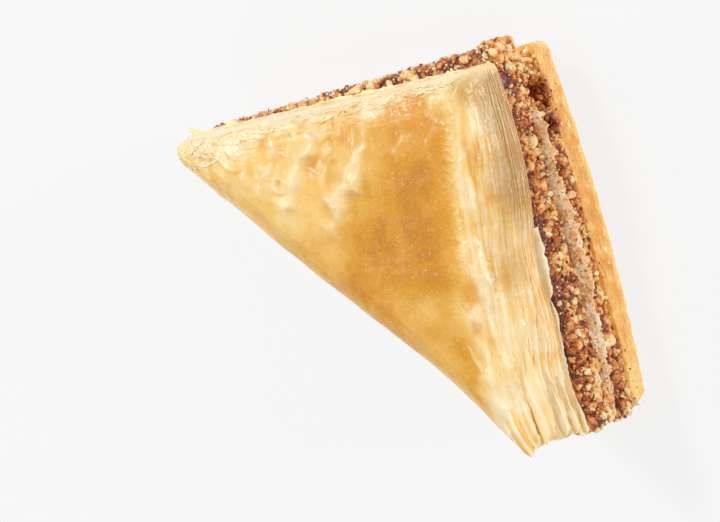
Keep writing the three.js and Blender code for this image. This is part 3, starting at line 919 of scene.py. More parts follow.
nutSkin = nutMaterial("nutSkin", {
    "stops": [(0.0, srgb(208, 104, 48)), (0.5, srgb(164, 70, 32)), (1.0, srgb(112, 46, 26))],
    "patches": 900.0, "cells": 1500.0, "cellTone": 0.4, "freckles": 0.25,
    "bump": 0.4, "roughness": (0.4, 0.6), "coat": 0.12,
})
softPhyllo = nutMaterial("softPhyllo", {
    "stops": [(0.0, srgb(255, 236, 202)), (0.35, srgb(255, 210, 148)),
              (0.7, srgb(246, 174, 106)), (1.0, srgb(176, 92, 46))],
    "patches": 420.0, "cells": 2000.0, "cellTone": 0.4, "freckles": 0.45,
    "bump": 0.5, "roughness": (0.2, 0.42), "coat": 0.5,
})
syrupedPhyllo = nutMaterial("syrupedPhyllo", {
    "stops": [(0.0, srgb(255, 210, 118)), (0.4, srgb(240, 164, 56)),
              (0.75, srgb(222, 134, 38)), (1.0, srgb(180, 82, 24))],
    "patches": 340.0, "cells": 1900.0, "cellTone": 0.12, "freckles": 0.3,
    "bump": 0.22, "roughness": (0.14, 0.3), "coat": 0.8,
})
print("materials ready")


# Top stack pieces
toastSpots = [
    # place, half widths, strength
    ((26.4, -17.4), (2.6, 3.4), 1.1), ((26.6, -12.0), (1.7, 2.4), 0.8), ((21.6, -21.2), (2.8, 1.8), 0.8),
    ((10.9, -19.3), (1.3, 1.2), 0.9), ((16.6, -20.4), (1.8, 1.0), 0.5), ((4.9, -15.0), (0.5, 4.4), 0.5),
    ((2.0, -15.5), (0.6, 5.0), 0.6), ((3.4, -20.6), (1.6, 1.0), 0.6), ((-3.8, -21.6), (1.9, 1.1), 0.75),
    ((-8.8, -22.2), (2.0, 0.9), 0.7), ((-3.4, -22.9), (1.9, 1.0), 0.8), ((10.1, -27.5), (1.9, 0.8), 0.9),
    ((11.6, -21.1), (1.8, 1.0), 0.5), ((24.9, -2.6), (0.6, 1.6), 0.6), ((21.4, 2.4), (1.2, 2.6), 0.6),
    ((15.0, 2.6), (2.4, 1.2), 0.4), ((26.2, -4.4), (1.3, 1.5), 0.6), ((28.2, 5.2), (0.7, 1.1), 0.6),
    ((26.8, 14.5), (0.8, 1.1), 0.65), ((27.6, 18.0), (0.8, 0.9), 0.5), ((10.5, -29.6), (3.0, 0.9), 0.5),
    ((-1.5, -27.2), (1.8, 0.7), 0.35), ((28.2, -5.6), (0.8, 1.2), 0.6), ((26.6, 28.6), (1.0, 1.8), 0.3),
]

# How the pastry is browned, with its painted shade and highlights: strengths from 0 to 1, and a pale
# patch with its place and width.
browning = {
    "top": 0.95,
    "towardsTip": (0.5, 0.36),  # paler towards the back tip, in two steps
    "towardsLeft": 0.3,  # and towards the front left corner
    "palePatch": {"x": -4.5, "width": 3.5, "strength": 0.35},
    "alongBack": 0.3,
    "foldCrestHighlight": 0.65,
    "foldHollowShade": 0.4,
    "turnedDown": 0.6,  # a pale band where the top turns down
    "frontPatches": 0.5,
    "leftCream": 0.9,  # the leaves' ends at the front left corner stay creamy
    "paintedShadeStreaks": 0.3,
    "frontPaintedShade": 0.95,  # painted shade on the lower leaves of the front
    "mostToast": 0.85,
    "mostPaintedShade": 0.9,
}


def pastryMasks(vertices, edge=0.0, across=None, lay=0.0, leaf=0, paler=0.0):
    plan, x, y = vertices[:, :2], vertices[:, 0], vertices[:, 1]
    fromFront, fromSide, fromBack = (depthFrom(name, plan) for name in ("front", "side", "back"))
    soft = 1.6 * waver(plan, 0.12, 200, 2)
    fold = foldShare(plan)

    # Golden brown on top, paler towards the corners and where the top turns down, with a painted
    # highlight on the fold crests and painted shade in their hollows.
    gold = browning["top"] * smoothstep(5, 12, fromFront + soft) * smoothstep(2, 7, fromSide + soft)
    towardsTip = 0.6 * x + 0.8 * y + 1.6 * waver(plan, 0.12, 201)
    nearer, nearest = browning["towardsTip"]
    gold *= 1 - nearer * smoothstep(1.0, 7.5, towardsTip) - nearest * smoothstep(9, 20, towardsTip)
    gold *= 1 - browning["towardsLeft"] * smoothstep(3, -8, x + 3 * waver(plan, 0.12, 202))
    patch = browning["palePatch"]
    inPatch = bump(x - patch["x"] + soft, patch["width"])
    gold *= 1 - patch["strength"] * inPatch * smoothstep(-10, -14, y)
    gold *= 0.72 + 0.28 * smoothstep(-1, 7, fromBack)
    alongBack = smoothstep(9, 1, fromBack + soft) * smoothstep(-8, 6, y) * smoothstep(32, 14, y)
    gold = gold + browning["alongBack"] * alongBack * (1 - gold)
    # Painted highlight on the fold crests, painted shade in their hollows.
    gold = gold * (1 - browning["foldCrestHighlight"] * np.maximum(fold, 0) ** 1.3)
    gold = gold + browning["foldHollowShade"] * np.maximum(-fold, 0)

    # The front: painted shade in streaks and low down, and browned in patches.
    onFront = smoothstep(7, 3.5, fromFront) * smoothstep(0.5, 3, fromSide)
    fromLeft = smoothstep(-28, -10, x)
    streaked = smoothstep(-0.2, 0.8, waver(plan * np.array((0.5, 1.6)), 0.2, 204, 2))
    paintedShade = browning["paintedShadeStreaks"] * onFront * fromLeft * streaked
    lowDown = smoothstep(24.0, 18.0, vertices[:, 2] + soft)
    paintedShade += browning["frontPaintedShade"] * onFront * smoothstep(-2, 13, x) * lowDown
    patches = browning["frontPatches"] * np.maximum(0, waver(plan, 0.17, 205, 2))
    gold = gold + onFront * fromLeft * (0.06 + patches)
    gold *= 1 - browning["turnedDown"] * bump(fromFront - 5.2, 1.6)
    under = 0.05 + 0.1 * smoothstep(0, 6, fromSide + soft) + 0.1 * waver(plan, 0.3, 206, 2)
    cream = smoothstep(-13, -25, x + 2 * soft) * smoothstep(12, 6, fromFront)
    creamy = 1 - browning["leftCream"] * cream
    gold, under = gold * creamy, under * creamy

    # The torn edge along the front: a painted highlight along it, and painted shadow as a golden line
    # just before it.
    inside, shows = tornEdgeAt(plan)
    tornEdgeHighlight = shows * smoothstep(-0.7, 0.2, waver(plan, 0.5, 208)) * bump(inside - 0.1, 0.24)
    gold = gold + 0.3 * shows * bump(inside + 0.5, 0.4)

    toast = np.zeros(len(plan))
    for spot, widths, strength in toastSpots:
        reach = np.linalg.norm((plan - np.array(spot)) / np.array(widths), axis=1)
        reach = reach + 0.4 * waver(plan, 0.5, 203, 2)
        toast += strength * bump(np.maximum(reach, 0), 1.0)

    run = np.zeros((len(plan), 3))
    if across is None:
        run[:, 0], run[:, 1] = x, y
    else:
        run[:, 0] = np.resize(outline["arc"], len(plan))
        run[:, 1] = topLeaves["slopeLength"] * across
    run[:, 2] = leaf
    flat = np.zeros(len(plan))
    paleEdgeAndHighlight = (edge + flat) * (1 - 0.6 * np.clip(paintedShade, 0, 1))
    # Painted highlights: on the fold crests and along the torn edge.
    paleEdgeAndHighlight = paleEdgeAndHighlight + 0.42 * np.maximum(fold, 0) ** 2 + tornEdgeHighlight
    return {
        "gold": np.clip(under + gold - under * gold - paler, 0, 1),
        "toast": np.clip(toast, 0, browning["mostToast"]),
        "paintedShade": np.clip(paintedShade, 0, browning["mostPaintedShade"]),
        "edge": np.clip(paleEdgeAndHighlight, 0, 1),
        "lay": lay + flat,
        "run": run,
    }


def joinMasks(masks):
    return {key: np.concatenate([mask[key] for mask in masks]) for key in masks[0]}


edges = leafEdges()
groups = {
    "lowerLeaves": range(0, 5),
    "middleLeaves": range(5, 10),
    "upperLeaves": range(10, topLeaves["count"]),
}
for name, members in groups.items():
    shells, masks = [], []
    for k in members:
        vertices, faces, edgeMask, across = leafShell(k, edges[k], edges[k + 1])
        shells.append((vertices, faces))
        edgeMask, across = np.concatenate(edgeMask), np.concatenate(across)
        masks.append(pastryMasks(vertices, edgeMask, across, 1.0, 3.7 * k))
    vertices, faces = joinParts(shells)
    piece = meshPiece(name, vertices, faces, glazedPhyllo, joinMasks(masks))
    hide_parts("top_phyllo")
vertices, faces, edgeMask, across = topSheet(edges[-1])
across = np.concatenate(across)
calm = 1 - 0.7 * outline["follows"]["back"]
calm = calm * (1 - 0.85 * bump(outline["fromSquare"], 5.0))  # fewer strands near the square corner
lay = smoothstep(1.25, 0.95, across) * np.resize(calm, len(across))
masks = pastryMasks(vertices, np.concatenate(edgeMask), across, lay, 60)
topLeaf = meshPiece("topLeaf", vertices, faces, glazedPhyllo, masks)
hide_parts("top_phyllo")
vertices, faces = stackCore()
leafHeart = meshPiece("leafHeart", vertices, faces, glazedPhyllo, pastryMasks(vertices))
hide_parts("top_phyllo")

# Ends of leaves that droop over the front left corner. Each runs through these points,
# with its half width at each of them.
drapedEnds = {
    "finger": {
        "through": (
            (-12.0, -22.4, 26.8), (-17.0, -23.1, 27.6), (-21.5, -23.8, 27.9),
            (-25.2, -24.4, 27.8), (-28.0, -24.8, 27.1), (-30.4, -25.1, 26.1),
        ),
        "halfWidths": (0.5, 1.0, 1.25, 1.3, 1.15, 0.85), "arch": 1.0, "flute": 0.1, "pleat": 0.35,
    },
    "innerPleat": {
        "through": (
            (-14.0, -24.7, 26.4), (-20.0, -25.3, 27.0), (-24.0, -25.8, 26.6),
            (-27.0, -25.9, 26.2), (-29.3, -26.0, 25.5),
        ),
        "halfWidths": (0.5, 0.9, 1.0, 1.0, 0.8), "arch": 0.8, "flute": 0.1, "pleat": 0.35,
    },
    "broadTongue": {
        "through": (
            (-9.0, -25.6, 24.2), (-15.8, -26.5, 25.0), (-20.0, -26.9, 25.3),
            (-23.6, -27.3, 24.8), (-26.4, -27.3, 24.5), (-29.2, -27.1, 24.1),
        ),
        "halfWidths": (0.8, 1.6, 1.9, 2.0, 2.0, 1.7), "arch": 0.7, "flute": 0.3, "pleat": 0.5,
    },
    "lowTongue": {
        "through": (
            (-18.0, -28.1, 22.0), (-22.0, -28.4, 22.1), (-25.0, -28.6, 21.8),
            (-27.4, -28.6, 21.3), (-29.2, -28.5, 20.8),
        ),
        "halfWidths": (0.4, 1.0, 1.3, 1.3, 1.0), "arch": 0.45, "flute": 0.12, "pleat": 0.3,
    },
    "lowerTongue": {
        "through": (
            (-20.0, -28.8, 20.2), (-23.5, -29.1, 20.3), (-26.0, -29.3, 20.0),
            (-28.0, -29.3, 19.5), (-29.4, -29.2, 19.0),
        ),
        "halfWidths": (0.4, 0.9, 1.1, 1.1, 0.9), "arch": 0.4, "flute": 0.1, "pleat": 0.25,
    },
    "lowestTongue": {
        "through": (
            (-21.0, -29.4, 18.4), (-24.5, -29.8, 18.6), (-27.0, -30.0, 18.2),
            (-29.0, -29.9, 17.8), (-30.2, -29.8, 17.4),
        ),
        "halfWidths": (0.4, 0.8, 1.0, 1.0, 0.8), "arch": 0.3, "flute": 0.1, "pleat": 0.2,
    },
}
endShape = {
    "rows": 70, "columns": 25, "thickness": 0.2, "roundedTip": 0.1, "scallop": 0.2, "seed": 230,
}


def pleatShare(v, t, seed):  # 1 on the ridges that run together towards the end, 0 between them
    phase = 2.7 * v[None, :] * (1.3 - 0.5 * t[:, None])
    phase = phase + 0.9 * np.sin(2.2 * t[:, None] + seed) + seed
    return (1 - np.abs(np.sin(phase))) ** 2 * smoothstep(0.1, 0.5, t)[:, None]


def drapedEnd(sizes, seed):  # a leaf's end that comes out of the stack and droops
    steps, columns = endShape["rows"], endShape["columns"]
    line = throughPoints(sizes["through"], steps)
    tangent = np.gradient(line, axis=0)
    tangent /= np.linalg.norm(tangent, axis=1)[:, None]
    up = np.array((-0.15, -0.45, 0.9))
    aside = np.cross(tangent, up)
    aside /= np.linalg.norm(aside, axis=1)[:, None]
    above = np.cross(aside, tangent)
    t = np.linspace(0, 1, steps)
    width = np.interp(t, np.linspace(0, 1, len(sizes["halfWidths"])), sizes["halfWidths"])
    width = width * np.sqrt(np.clip((1 - t) / endShape["roundedTip"], 0.12, 1))
    v = np.linspace(-1, 1, columns)
    grid = line[:, None, :] + aside[:, None, :] * (width[:, None] * v)[..., None]
    free = smoothstep(0.1, 0.75, t)[:, None]
    arch = sizes["arch"] * (1 - np.abs(v) ** 2.6) + 0.25 * np.maximum(0, v) ** 3
    height = free * arch[None, :] - 0.55 * (1 - free)
    height = height + sizes["flute"] * free * np.sin(5.0 * v[None, :] + seed + 1.5 * t[:, None])
    height = height + sizes["pleat"] * pleatShare(v, t, seed) * (1 - np.abs(v[None, :]) ** 4)
    grid = grid + above[:, None, :] * height[..., None]
    ragged = 0.1 * waver(grid, 0.45, seed, 3)
    ragged[-4:] *= 2
    raggedRim = 1.8 * ragged * np.abs(v) ** 3
    grid = grid + above[:, None, :] * ragged[..., None] + aside[:, None, :] * raggedRim[..., None]
    scallop = endShape["scallop"] * np.cos(4.5 * v + seed)[None, :]
    scallop = scallop * smoothstep(0.8, 1.0, t)[:, None]
    return grid + tangent[:, None, :] * scallop[..., None]


ends, masks = [], []
for i, sizes in enumerate(drapedEnds.values()):
    seed = endShape["seed"] + i
    grid = drapedEnd(sizes, seed)
    part = thinSheet(grid, endShape["thickness"])
    t, v = np.linspace(0, 1, grid.shape[0]), np.linspace(-1, 1, grid.shape[1])
    rim = np.maximum(smoothstep(0.7, 0.95, v)[None, :], smoothstep(0.93, 1.0, t)[:, None])
    pleats = pleatShare(v, t, seed)
    # Pale rims, partly painted glow, and painted highlights along the pleats' ridges.
    edgeMask = np.tile(np.maximum(rim, 0.7 * pleats).ravel(), 2)
    mask = pastryMasks(part[0], edgeMask, None, 0.1, 80 + 2 * i, 0.3)
    between = np.tile((smoothstep(0.3, 0.0, pleats) * smoothstep(0.2, 0.6, t)[:, None]).ravel(), 2)
    gold = mask["gold"] + 0.3 * between * smoothstep(-27.5, -25.5, part[0][:, 1])
    mask["gold"] = np.clip(gold + 0.1 * between, 0, 1)  # painted shade, golden between the pleats
    ends.append(part)
    masks.append(mask)
vertices, faces = joinParts(ends)
cornerEnds = meshPiece("cornerEnds", vertices, faces, glazedPhyllo, joinMasks(masks))
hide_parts("top_phyllo")

# The lowest leaf hangs loose over the nuts along part of the front.
looseLeaf = {
    "from": 3.4, "to": -23.0, "inner": -27.4, "height": 17.3, "droop": 0.7,
    "edgeAt": (-23, -17, -14, -10, -6, -3, -1, 1, 3.4),  # where it ends, along x
    "edge": (-29.1, -29.5, -29.75, -29.95, -30.0, -30.25, -30.4, -30.45, -30.5),
    "columns": 150, "rows": 12, "thickness": 0.16,
}


def looseHem(sizes):
    x = np.linspace(sizes["from"], sizes["to"], sizes["columns"])
    t = (x - sizes["from"]) / (sizes["to"] - sizes["from"])
    across = np.linspace(0, 1, sizes["rows"])
    plan = np.column_stack([x, x * 0])
    reach = sizes["inner"] - smoothLine(sizes["edgeAt"], sizes["edge"], x, 1.5)
    reach = reach + 0.12 * waver(plan, 0.5, 260, 2) + 0.1 * waver(plan, 1.7, 261, 2)
    reach = reach - 0.45 * bump(x + 0.9, 0.35) - 0.4 * bump(x + 8.0, 0.4)
    droop = sizes["droop"] * (1 - 0.6 * smoothstep(0, 0.7, t)) + 0.25 * waver(plan, 0.35, 262)
    grid = np.zeros((len(x), len(across), 3))
    grid[..., 0] = x[:, None] + 0.4 * (1 - t[:, None]) ** 8 * across[None, :]
    grid[..., 1] = sizes["inner"] - reach[:, None] * across
    hanging = sizes["height"] - droop[:, None] * across**4
    grid[..., 2] = hanging + 0.35 * bump(t[:, None], 0.04) * across
    curl = 0.5 * np.maximum(0, waver(plan, 0.3, 263))[:, None] * np.maximum(0, across - 0.8) / 0.2
    grid[..., 2] += curl
    grid[..., 1] += 0.5 * curl
    return grid


grid = looseHem(looseLeaf)
vertices, faces = thinSheet(grid, looseLeaf["thickness"])
hem = smoothstep(0.8, 1.0, np.linspace(0, 1, grid.shape[1]))
rim = np.tile(np.maximum(hem[None, :], bump(np.arange(grid.shape[0]), 3)[:, None]).ravel(), 2)
masks = pastryMasks(vertices, np.clip(rim + 0.25, 0, 1), None, 0.4, 90, 0.5)
# Painted shade over the loose leaf, less at its rim.
masks["paintedShade"] = np.clip(0.4 - 0.4 * rim, 0, 1)
loosePiece = meshPiece("looseLeaf", vertices, faces, glazedPhyllo, masks)
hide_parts("top_phyllo")

# Torn flakes lie along the rim of the long cut side, thickest near the back tip.
flakes = {
    "amount": 110, "length": (2.5, 8.0), "width": (0.35, 0.95), "thickness": 0.09, "rise": 0.05,
    "sideX": 31, "startY": -24, "runY": 56,
    "rows": 15, "columns": 7, "seed": 31,
}


def surfaceReader():  # tells the height of the stack's surface at any place of the plan
    points = outline["points"]
    angles = np.arctan2(points[:, 1] - centre[1], points[:, 0] - centre[0])
    order = np.argsort(angles)
    places = [slopePlace(q) for q in np.linspace(0.3, 1.0, 15)]
    full = np.linalg.norm(points - centre, axis=1)[order]
    levels = [(np.linalg.norm(p[:, :2] - centre, axis=1)[order], p[order, 2]) for p in places]

    def allRound(angle, values):
        return np.interp(angle, angles[order], values, period=2 * math.pi)

    def heightAt(plan):
        away = plan - centre
        angle, reach = np.arctan2(away[:, 1], away[:, 0]), np.linalg.norm(away, axis=1)
        radii = np.array([allRound(angle, radius) for radius, _ in levels])
        heights = np.array([allRound(angle, height) for _, height in levels])
        inwards = zip(reach, radii[::-1].T, heights[::-1].T)
        height = np.array([np.interp(*at) for at in inwards])
        inside = reach < radii[-1]
        if inside.any():
            share = reach / allRound(angle, full)
            height[inside] = topSurface(plan[inside], share[inside] * crownEdge)
        return height

    return heightAt


surfaceAt = surfaceReader()


def tornFlakes(sizes):
    rng = np.random.default_rng(sizes["seed"])
    parts, masks = [], []
    for i in range(sizes["amount"]):
        y = sizes["startY"] + sizes["runY"] * rng.random()
        inset = 0.7 + (1.6 + 3.2 * smoothstep(5, 28, y)) * rng.random()
        where = np.array((sizes["sideX"] - inset, y))
        if depthFrom("back", where) < 0.8:
            continue
        length = within(sizes["length"], rng.random() ** 1.6)
        width = within(sizes["width"], rng.random())
        turn = math.pi / 2 + rng.normal(0, 0.14 + 0.2 * smoothstep(8, 28, y))
        along = np.array((math.cos(turn), math.sin(turn)))
        aside = np.array((-math.sin(turn), math.cos(turn)))
        steps = np.linspace(-1, 1, sizes["rows"]), np.linspace(-1, 1, sizes["columns"])
        u, v = np.meshgrid(*steps, indexing="ij")
        shape = np.sqrt(np.clip(1 - np.abs(u) ** 2.6, 0.02, 1))
        seed = 300 + i
        ragged = 1 + 0.35 * waver(np.dstack([u * 1.6, v]), 1.4, seed, 2)
        lengthwise, sideways = u * length / 2, v * shape * ragged * width
        plan = where + along * lengthwise[..., None] + aside * sideways[..., None]
        base = surfaceAt(plan.reshape(-1, 2)).reshape(u.shape)
        sideCurl, curledSide = rng.uniform(0.0, 0.5), rng.choice((-1, 1))
        curl = sideCurl * np.maximum(0, v * curledSide) ** 2
        curl = curl + rng.uniform(0, 0.35) * np.maximum(0, u) ** 3
        z = base + sizes["rise"] + 0.12 * rng.random() + curl + 0.07 * waver(plan, 1.3, seed)
        part = thinSheet(np.dstack([plan, z]), sizes["thickness"])
        rim = 0.6 * np.maximum(np.abs(v), np.abs(u)) ** 4
        parts.append(part)
        paler = rng.uniform(0.0, 0.35)
        masks.append(pastryMasks(part[0], np.tile(rim.ravel(), 2), None, 0.2, i, paler))
    vertices, faces = joinParts(parts)
    return vertices, faces, joinMasks(masks)


vertices, faces, masks = tornFlakes(flakes)
rimFlakes = meshPiece("rimFlakes", vertices, faces, glazedPhyllo, masks)
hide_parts("top_phyllo")
print("top stack laid")


# Fillings: a crumbly body, and chopped nut of several kinds over its sides
fillings = {
    "lower_filling": {
        "low": boundaries["bottomPhylloTop"] + 0.1,
        "high": boundaries["lowerFillingTop"] - 0.1,
        "front": (0.2, 0.9, 1.5), "side": (0.8, -0.6), "back": -0.7, "left": 0.2, "tip": -2.4,
        "brokenOut": 4.2, "cornerLump": 0.0, "darker": 0.0, "rows": 26, "seed": 300,
    },
    "upper_filling": {
        "low": boundaries["middlePhylloTop"] + 0.1,
        "high": boundaries["upperFillingTop"] - 0.1,
        "front": (0.4, 0.7, 1.3), "side": (1.9, -0.1), "back": -0.5, "left": -0.1, "tip": -2.8,
        "brokenOut": 0.0, "cornerLump": 1.1, "darker": 0.14, "rows": 34, "seed": 500,
    },
}
nutHollows = [(23.8, 2.2, 5.4), (18.4, 1.1, 2.6)]  # in the lower filling's front: x, width, depth
nutRelief = {
    "largeLump": 2.0, "largeRise": 0.95,
    "smallLump": 0.8, "smallRise": 0.35,
    "unevenness": 0.2, "sunk": 0.5,
    "ledge": 0.86,  # where the body ends under the leaves, as a share of the way out
    "paleSquare": 0.25,  # paler at the square corner
    "paleLeft": 0.12,  # and at the front left corner
    "shadeUnderLeaves": 0.35,  # painted shade, darker under the leaves
}


def hollowShade(points):  # 1 in the hollows, where no light comes in
    shade = sum(bump(points[:, 0] - x, width) for x, width, depth in nutHollows)
    return shade * smoothstep(-22, -24, points[:, 1]) * smoothstep(10.2, 9.2, points[:, 2])


def nutProfile(t):  # the side of a filling bulges, and draws in under and over the leaves
    return 0.45 - np.where(t > 0.5, 1.35, 0.5) * np.abs(2 * t - 1) ** 2.6


def nutLumps(points, size, seed):  # packed lumps: their height, and a shade for each
    heights, shades = np.zeros(len(points)), np.zeros(len(points))
    for i, point in enumerate(points / size):
        distances, centres = noise.voronoi((point[0] + 3.7 * seed, point[1], point[2] + 1.3 * seed))
        own = centres[0]
        shade = hashed(own[0] * 3.1 + own[1] * 7.7 + own[2] * 1.9)
        heights[i] = min(1.0, 2.2 * (distances[1] - distances[0])) ** 0.6 * (0.55 + 0.45 * shade)
        shades[i] = hashed(own[0] * 5.3 - own[1] * 2.1 + own[2] * 8.3)
    return heights, shades


def fillingRim(sizes):
    points = outline["points"]
    fallenOut = sum(depth * bump(points[:, 0] - x, width) for x, width, depth in nutHollows)
    broken = sizes["brokenOut"] * bump(outline["fromSquare"], 3.6)
    lump = sizes["cornerLump"] * bump(outline["fromSquare"], 4.0)
    front = curve(sizes["front"], outline["alongFront"]) - broken - 0.2 * lump
    if sizes["brokenOut"]:
        front = front - fallenOut
    return moved({
        "front": front, "side": within(sizes["side"], outline["alongSide"]) - broken + lump,
        "back": sizes["back"] - hollowOf(points), "left": sizes["left"], "tip": sizes["tip"],
    })


def fillingBody(sizes):
    relief, seed = nutRelief, sizes["seed"]
    rim = fillingRim(sizes)
    normal = np.column_stack([outline["normal"], np.zeros(count)])
    rows = []
    for t in np.linspace(0, 1, sizes["rows"]):
        ring = withHeight(rim, within((sizes["low"], sizes["high"]), t))
        rows.append(ring + normal * (nutProfile(t) - 0.35))
    side = np.vstack(rows)
    large, shade = nutLumps(side, relief["largeLump"], seed)
    small, smallShade = nutLumps(side, relief["smallLump"], seed + 1)
    rise = relief["largeRise"] * large + relief["smallRise"] * small
    rise = rise + relief["unevenness"] * waver(side, 0.3, seed + 2, 2) - relief["sunk"]
    side = side + np.tile(normal, (len(rows), 1)) * rise[:, None]
    side[:, 2] += 0.12 * waver(side, 0.6, seed + 3)
    rows = np.split(side, len(rows))
    ledge = centre + (rim - centre) * relief["ledge"]
    low, high = withHeight(ledge, sizes["low"]), withHeight(ledge, sizes["high"])
    lowCentre, highCentre = np.r_[centre, sizes["low"].mean()], np.r_[centre, sizes["high"].mean()]
    vertices, faces = closedBody([low] + rows + [high], lowCentre, highCentre)

    tone = 0.04 + 0.66 * (0.55 * shade + 0.45 * smallShade)
    tone = tone + 1.1 * np.maximum(0, 0.6 - large)  # painted shade, darker in the seams between the large lumps
    tone = tone + 0.3 * waver(side, 0.16, seed + 4, 2)
    # Painted shade at the top of each filling, under the leaves.
    shadeUnderLeaves = smoothstep(0.6, 1.0, np.linspace(0, 1, sizes["rows"]))
    tone = tone + np.repeat(relief["shadeUnderLeaves"] * shadeUnderLeaves, count)
    tone = tone + sizes["darker"] * smoothstep(22, 14, side[:, 0]) * smoothstep(-26, -16, side[:, 0])
    tone = tone + 0.8 * hollowShade(side)
    tone = tone - relief["paleSquare"] * np.tile(bump(outline["fromSquare"], 7.0), len(rows))
    tone = tone - relief["paleLeft"] * smoothstep(-18, -27, side[:, 0])
    ends = np.full(count, 0.5)
    return vertices, faces, np.clip(np.concatenate([ends, tone, ends, (0.5, 0.5)]), 0, 1)


def roundBall(level):  # unit ball of triangles
    bpy.ops.mesh.primitive_ico_sphere_add(subdivisions=level, radius=1)
    ball = bpy.context.object
    vertices = np.array([v.co for v in ball.data.vertices])
    faces = np.array([p.vertices for p in ball.data.polygons])
    mesh = ball.data
    bpy.data.objects.remove(ball)
    bpy.data.meshes.remove(mesh)
    return vertices, faces


def turned(rng, amount):  # random rotations
    quaternions = rng.normal(size=(amount, 4))
    quaternions /= np.linalg.norm(quaternions, axis=1)[:, None]
    w, x, y, z = quaternions.T
    return np.stack([
        np.stack([1 - 2 * (y * y + z * z), 2 * (x * y - z * w), 2 * (x * z + y * w)], axis=1),
        np.stack([2 * (x * y + z * w), 1 - 2 * (x * x + z * z), 2 * (y * z - x * w)], axis=1),
        np.stack([2 * (x * z - y * w), 2 * (y * z + x * w), 1 - 2 * (x * x + y * y)], axis=1),
    ], axis=1)


def cutFacets(shapes, rng, cuts):  # flattens each ball with a few planes, as a knife does nuts
    normals = rng.normal(size=(len(shapes), cuts, 3))
    normals /= np.linalg.norm(normals, axis=2)[..., None]
    depths = rng.uniform(0.5, 0.85, (len(shapes), cuts))
    for k in range(cuts):
        height = np.einsum("gvi,gi->gv", shapes, normals[:, k])
        over = np.maximum(0, height - depths[:, k, None])
        shapes = shapes - over[..., None] * normals[:, None, k]
    return shapes


def placeCrumbs(centres, radii, kind, rng):
    ballVertices, ballFaces = roundBall(kind["level"])
    total = len(centres)
    stretch = np.array(kind["stretch"]) * (0.75 + 0.5 * rng.random((total, 3)))
    dents = 1 + kind["dent"] * (rng.random((total, len(ballVertices))) - 0.5)
    shapes = cutFacets(ballVertices[None] * dents[..., None], rng, kind["cuts"])
    shapes = shapes * stretch[:, None, :] * radii[:, None, None]
    shapes = np.einsum("gij,gvj->gvi", turned(rng, total), shapes) + centres[:, None, :]
    faces = (ballFaces[None] + (np.arange(total) * len(ballVertices))[:, None, None]).reshape(-1, 3)
    mixed = rng.random(total)
    mixed = (0.6 * mixed + 0.2 - 0.2 * np.cos(math.pi * mixed)) ** kind["toneSkew"]
    # Paler towards both ends of the front, and dark in the hollows.
    paler = 0.22 * smoothstep(19, 27, centres[:, 0]) + 0.12 * smoothstep(-18, -27, centres[:, 0])
    tone = within(kind["tone"], mixed) + 0.8 * hollowShade(centres) - paler
    tone = np.repeat(tone, len(ballVertices))
    return shapes.reshape(-1, 3), faces.tolist(), {"tone": np.clip(tone, 0, 1)}


def scatterCrumbs(rng, kind):
    centres, radii = [], []
    for name, part in zip(("lower_filling", "upper_filling"), kind["share"]):
        sizes = fillings[name]
        part = int(kind["amount"] * part)
        rim = fillingRim(sizes)
        at = rng.integers(0, count, part)
        t = rng.random(part)
        radius = within(kind["radius"], rng.random(part) ** kind["skew"])
        low, high = sizes["low"][at], sizes["high"][at]
        z = low + radius * 0.6 + (high - low - 1.2 * radius) * t
        inward = nutProfile(t) - 0.3 - 0.55 * radius + kind["stand"] * radius * rng.random(part)
        openAbove = np.maximum(outline["follows"]["side"], bump(outline["fromSquare"], 6))[at]
        onLedge = rng.random(part) < kind["ledge"] * 3 * openAbove
        inward = np.where(onLedge, -3.0 * rng.random(part), inward)
        z = np.where(onLedge, high - 0.2 * radius, z)
        plan = rim[at] + outline["normal"][at] * inward[:, None]
        centres.append(np.column_stack([plan, z]))
        radii.append(radius)
    return placeCrumbs(np.vstack(centres), np.concatenate(radii), kind, rng)


crumbKinds = {
    "nutCrumbs": {
        "amount": 780, "share": (0.42, 0.58), "radius": (0.35, 0.8), "skew": 1.6,
        "level": 2, "cuts": 6, "stretch": (1.15, 0.95, 0.8), "dent": 0.25, "stand": 0.9, "ledge": 0.2,
        "tone": (0.05, 0.8), "toneSkew": 1.0, "material": choppedNut,
    },
    "nutPieces": {
        "amount": 190, "share": (0.42, 0.58), "radius": (0.65, 1.4), "skew": 1.5,
        "level": 3, "cuts": 7, "stretch": (1.15, 0.95, 0.8), "dent": 0.06, "stand": 0.25, "ledge": 0.1,
        "tone": (0.0, 0.5), "toneSkew": 1.2, "material": choppedNut,
    },
    "fineCrumbs": {
        "amount": 3300, "share": (0.42, 0.58), "radius": (0.12, 0.36), "skew": 1.4,
        "level": 1, "cuts": 2, "stretch": (1.15, 0.9, 0.8), "dent": 0.4, "stand": 1.6, "ledge": 0.2,
        "tone": (0.0, 0.9), "toneSkew": 0.9, "material": choppedNut,
    },
    "skinFlecks": {
        "amount": 1500, "share": (0.42, 0.58), "radius": (0.12, 0.42), "skew": 2.2,
        "level": 1, "cuts": 3, "stretch": (1.1, 0.8, 0.3), "dent": 0.4, "stand": 1.8, "ledge": 0.15,
        "tone": (0.0, 1.0), "toneSkew": 1.0, "material": nutSkin,
    },
}
crumbSeed = 7

for node, sizes in fillings.items():
    vertices, faces, tone = fillingBody(sizes)
    name = node.replace("_filling", "FillingBody")
    body = meshPiece(name, vertices, faces, nutPaste, {"tone": tone})
    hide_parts(node)
rng = np.random.default_rng(crumbSeed)
for name, kind in crumbKinds.items():
    vertices, faces, masks = scatterCrumbs(rng, kind)
    meshPiece(name, vertices, faces, kind["material"], masks)
    print(name, len(faces))


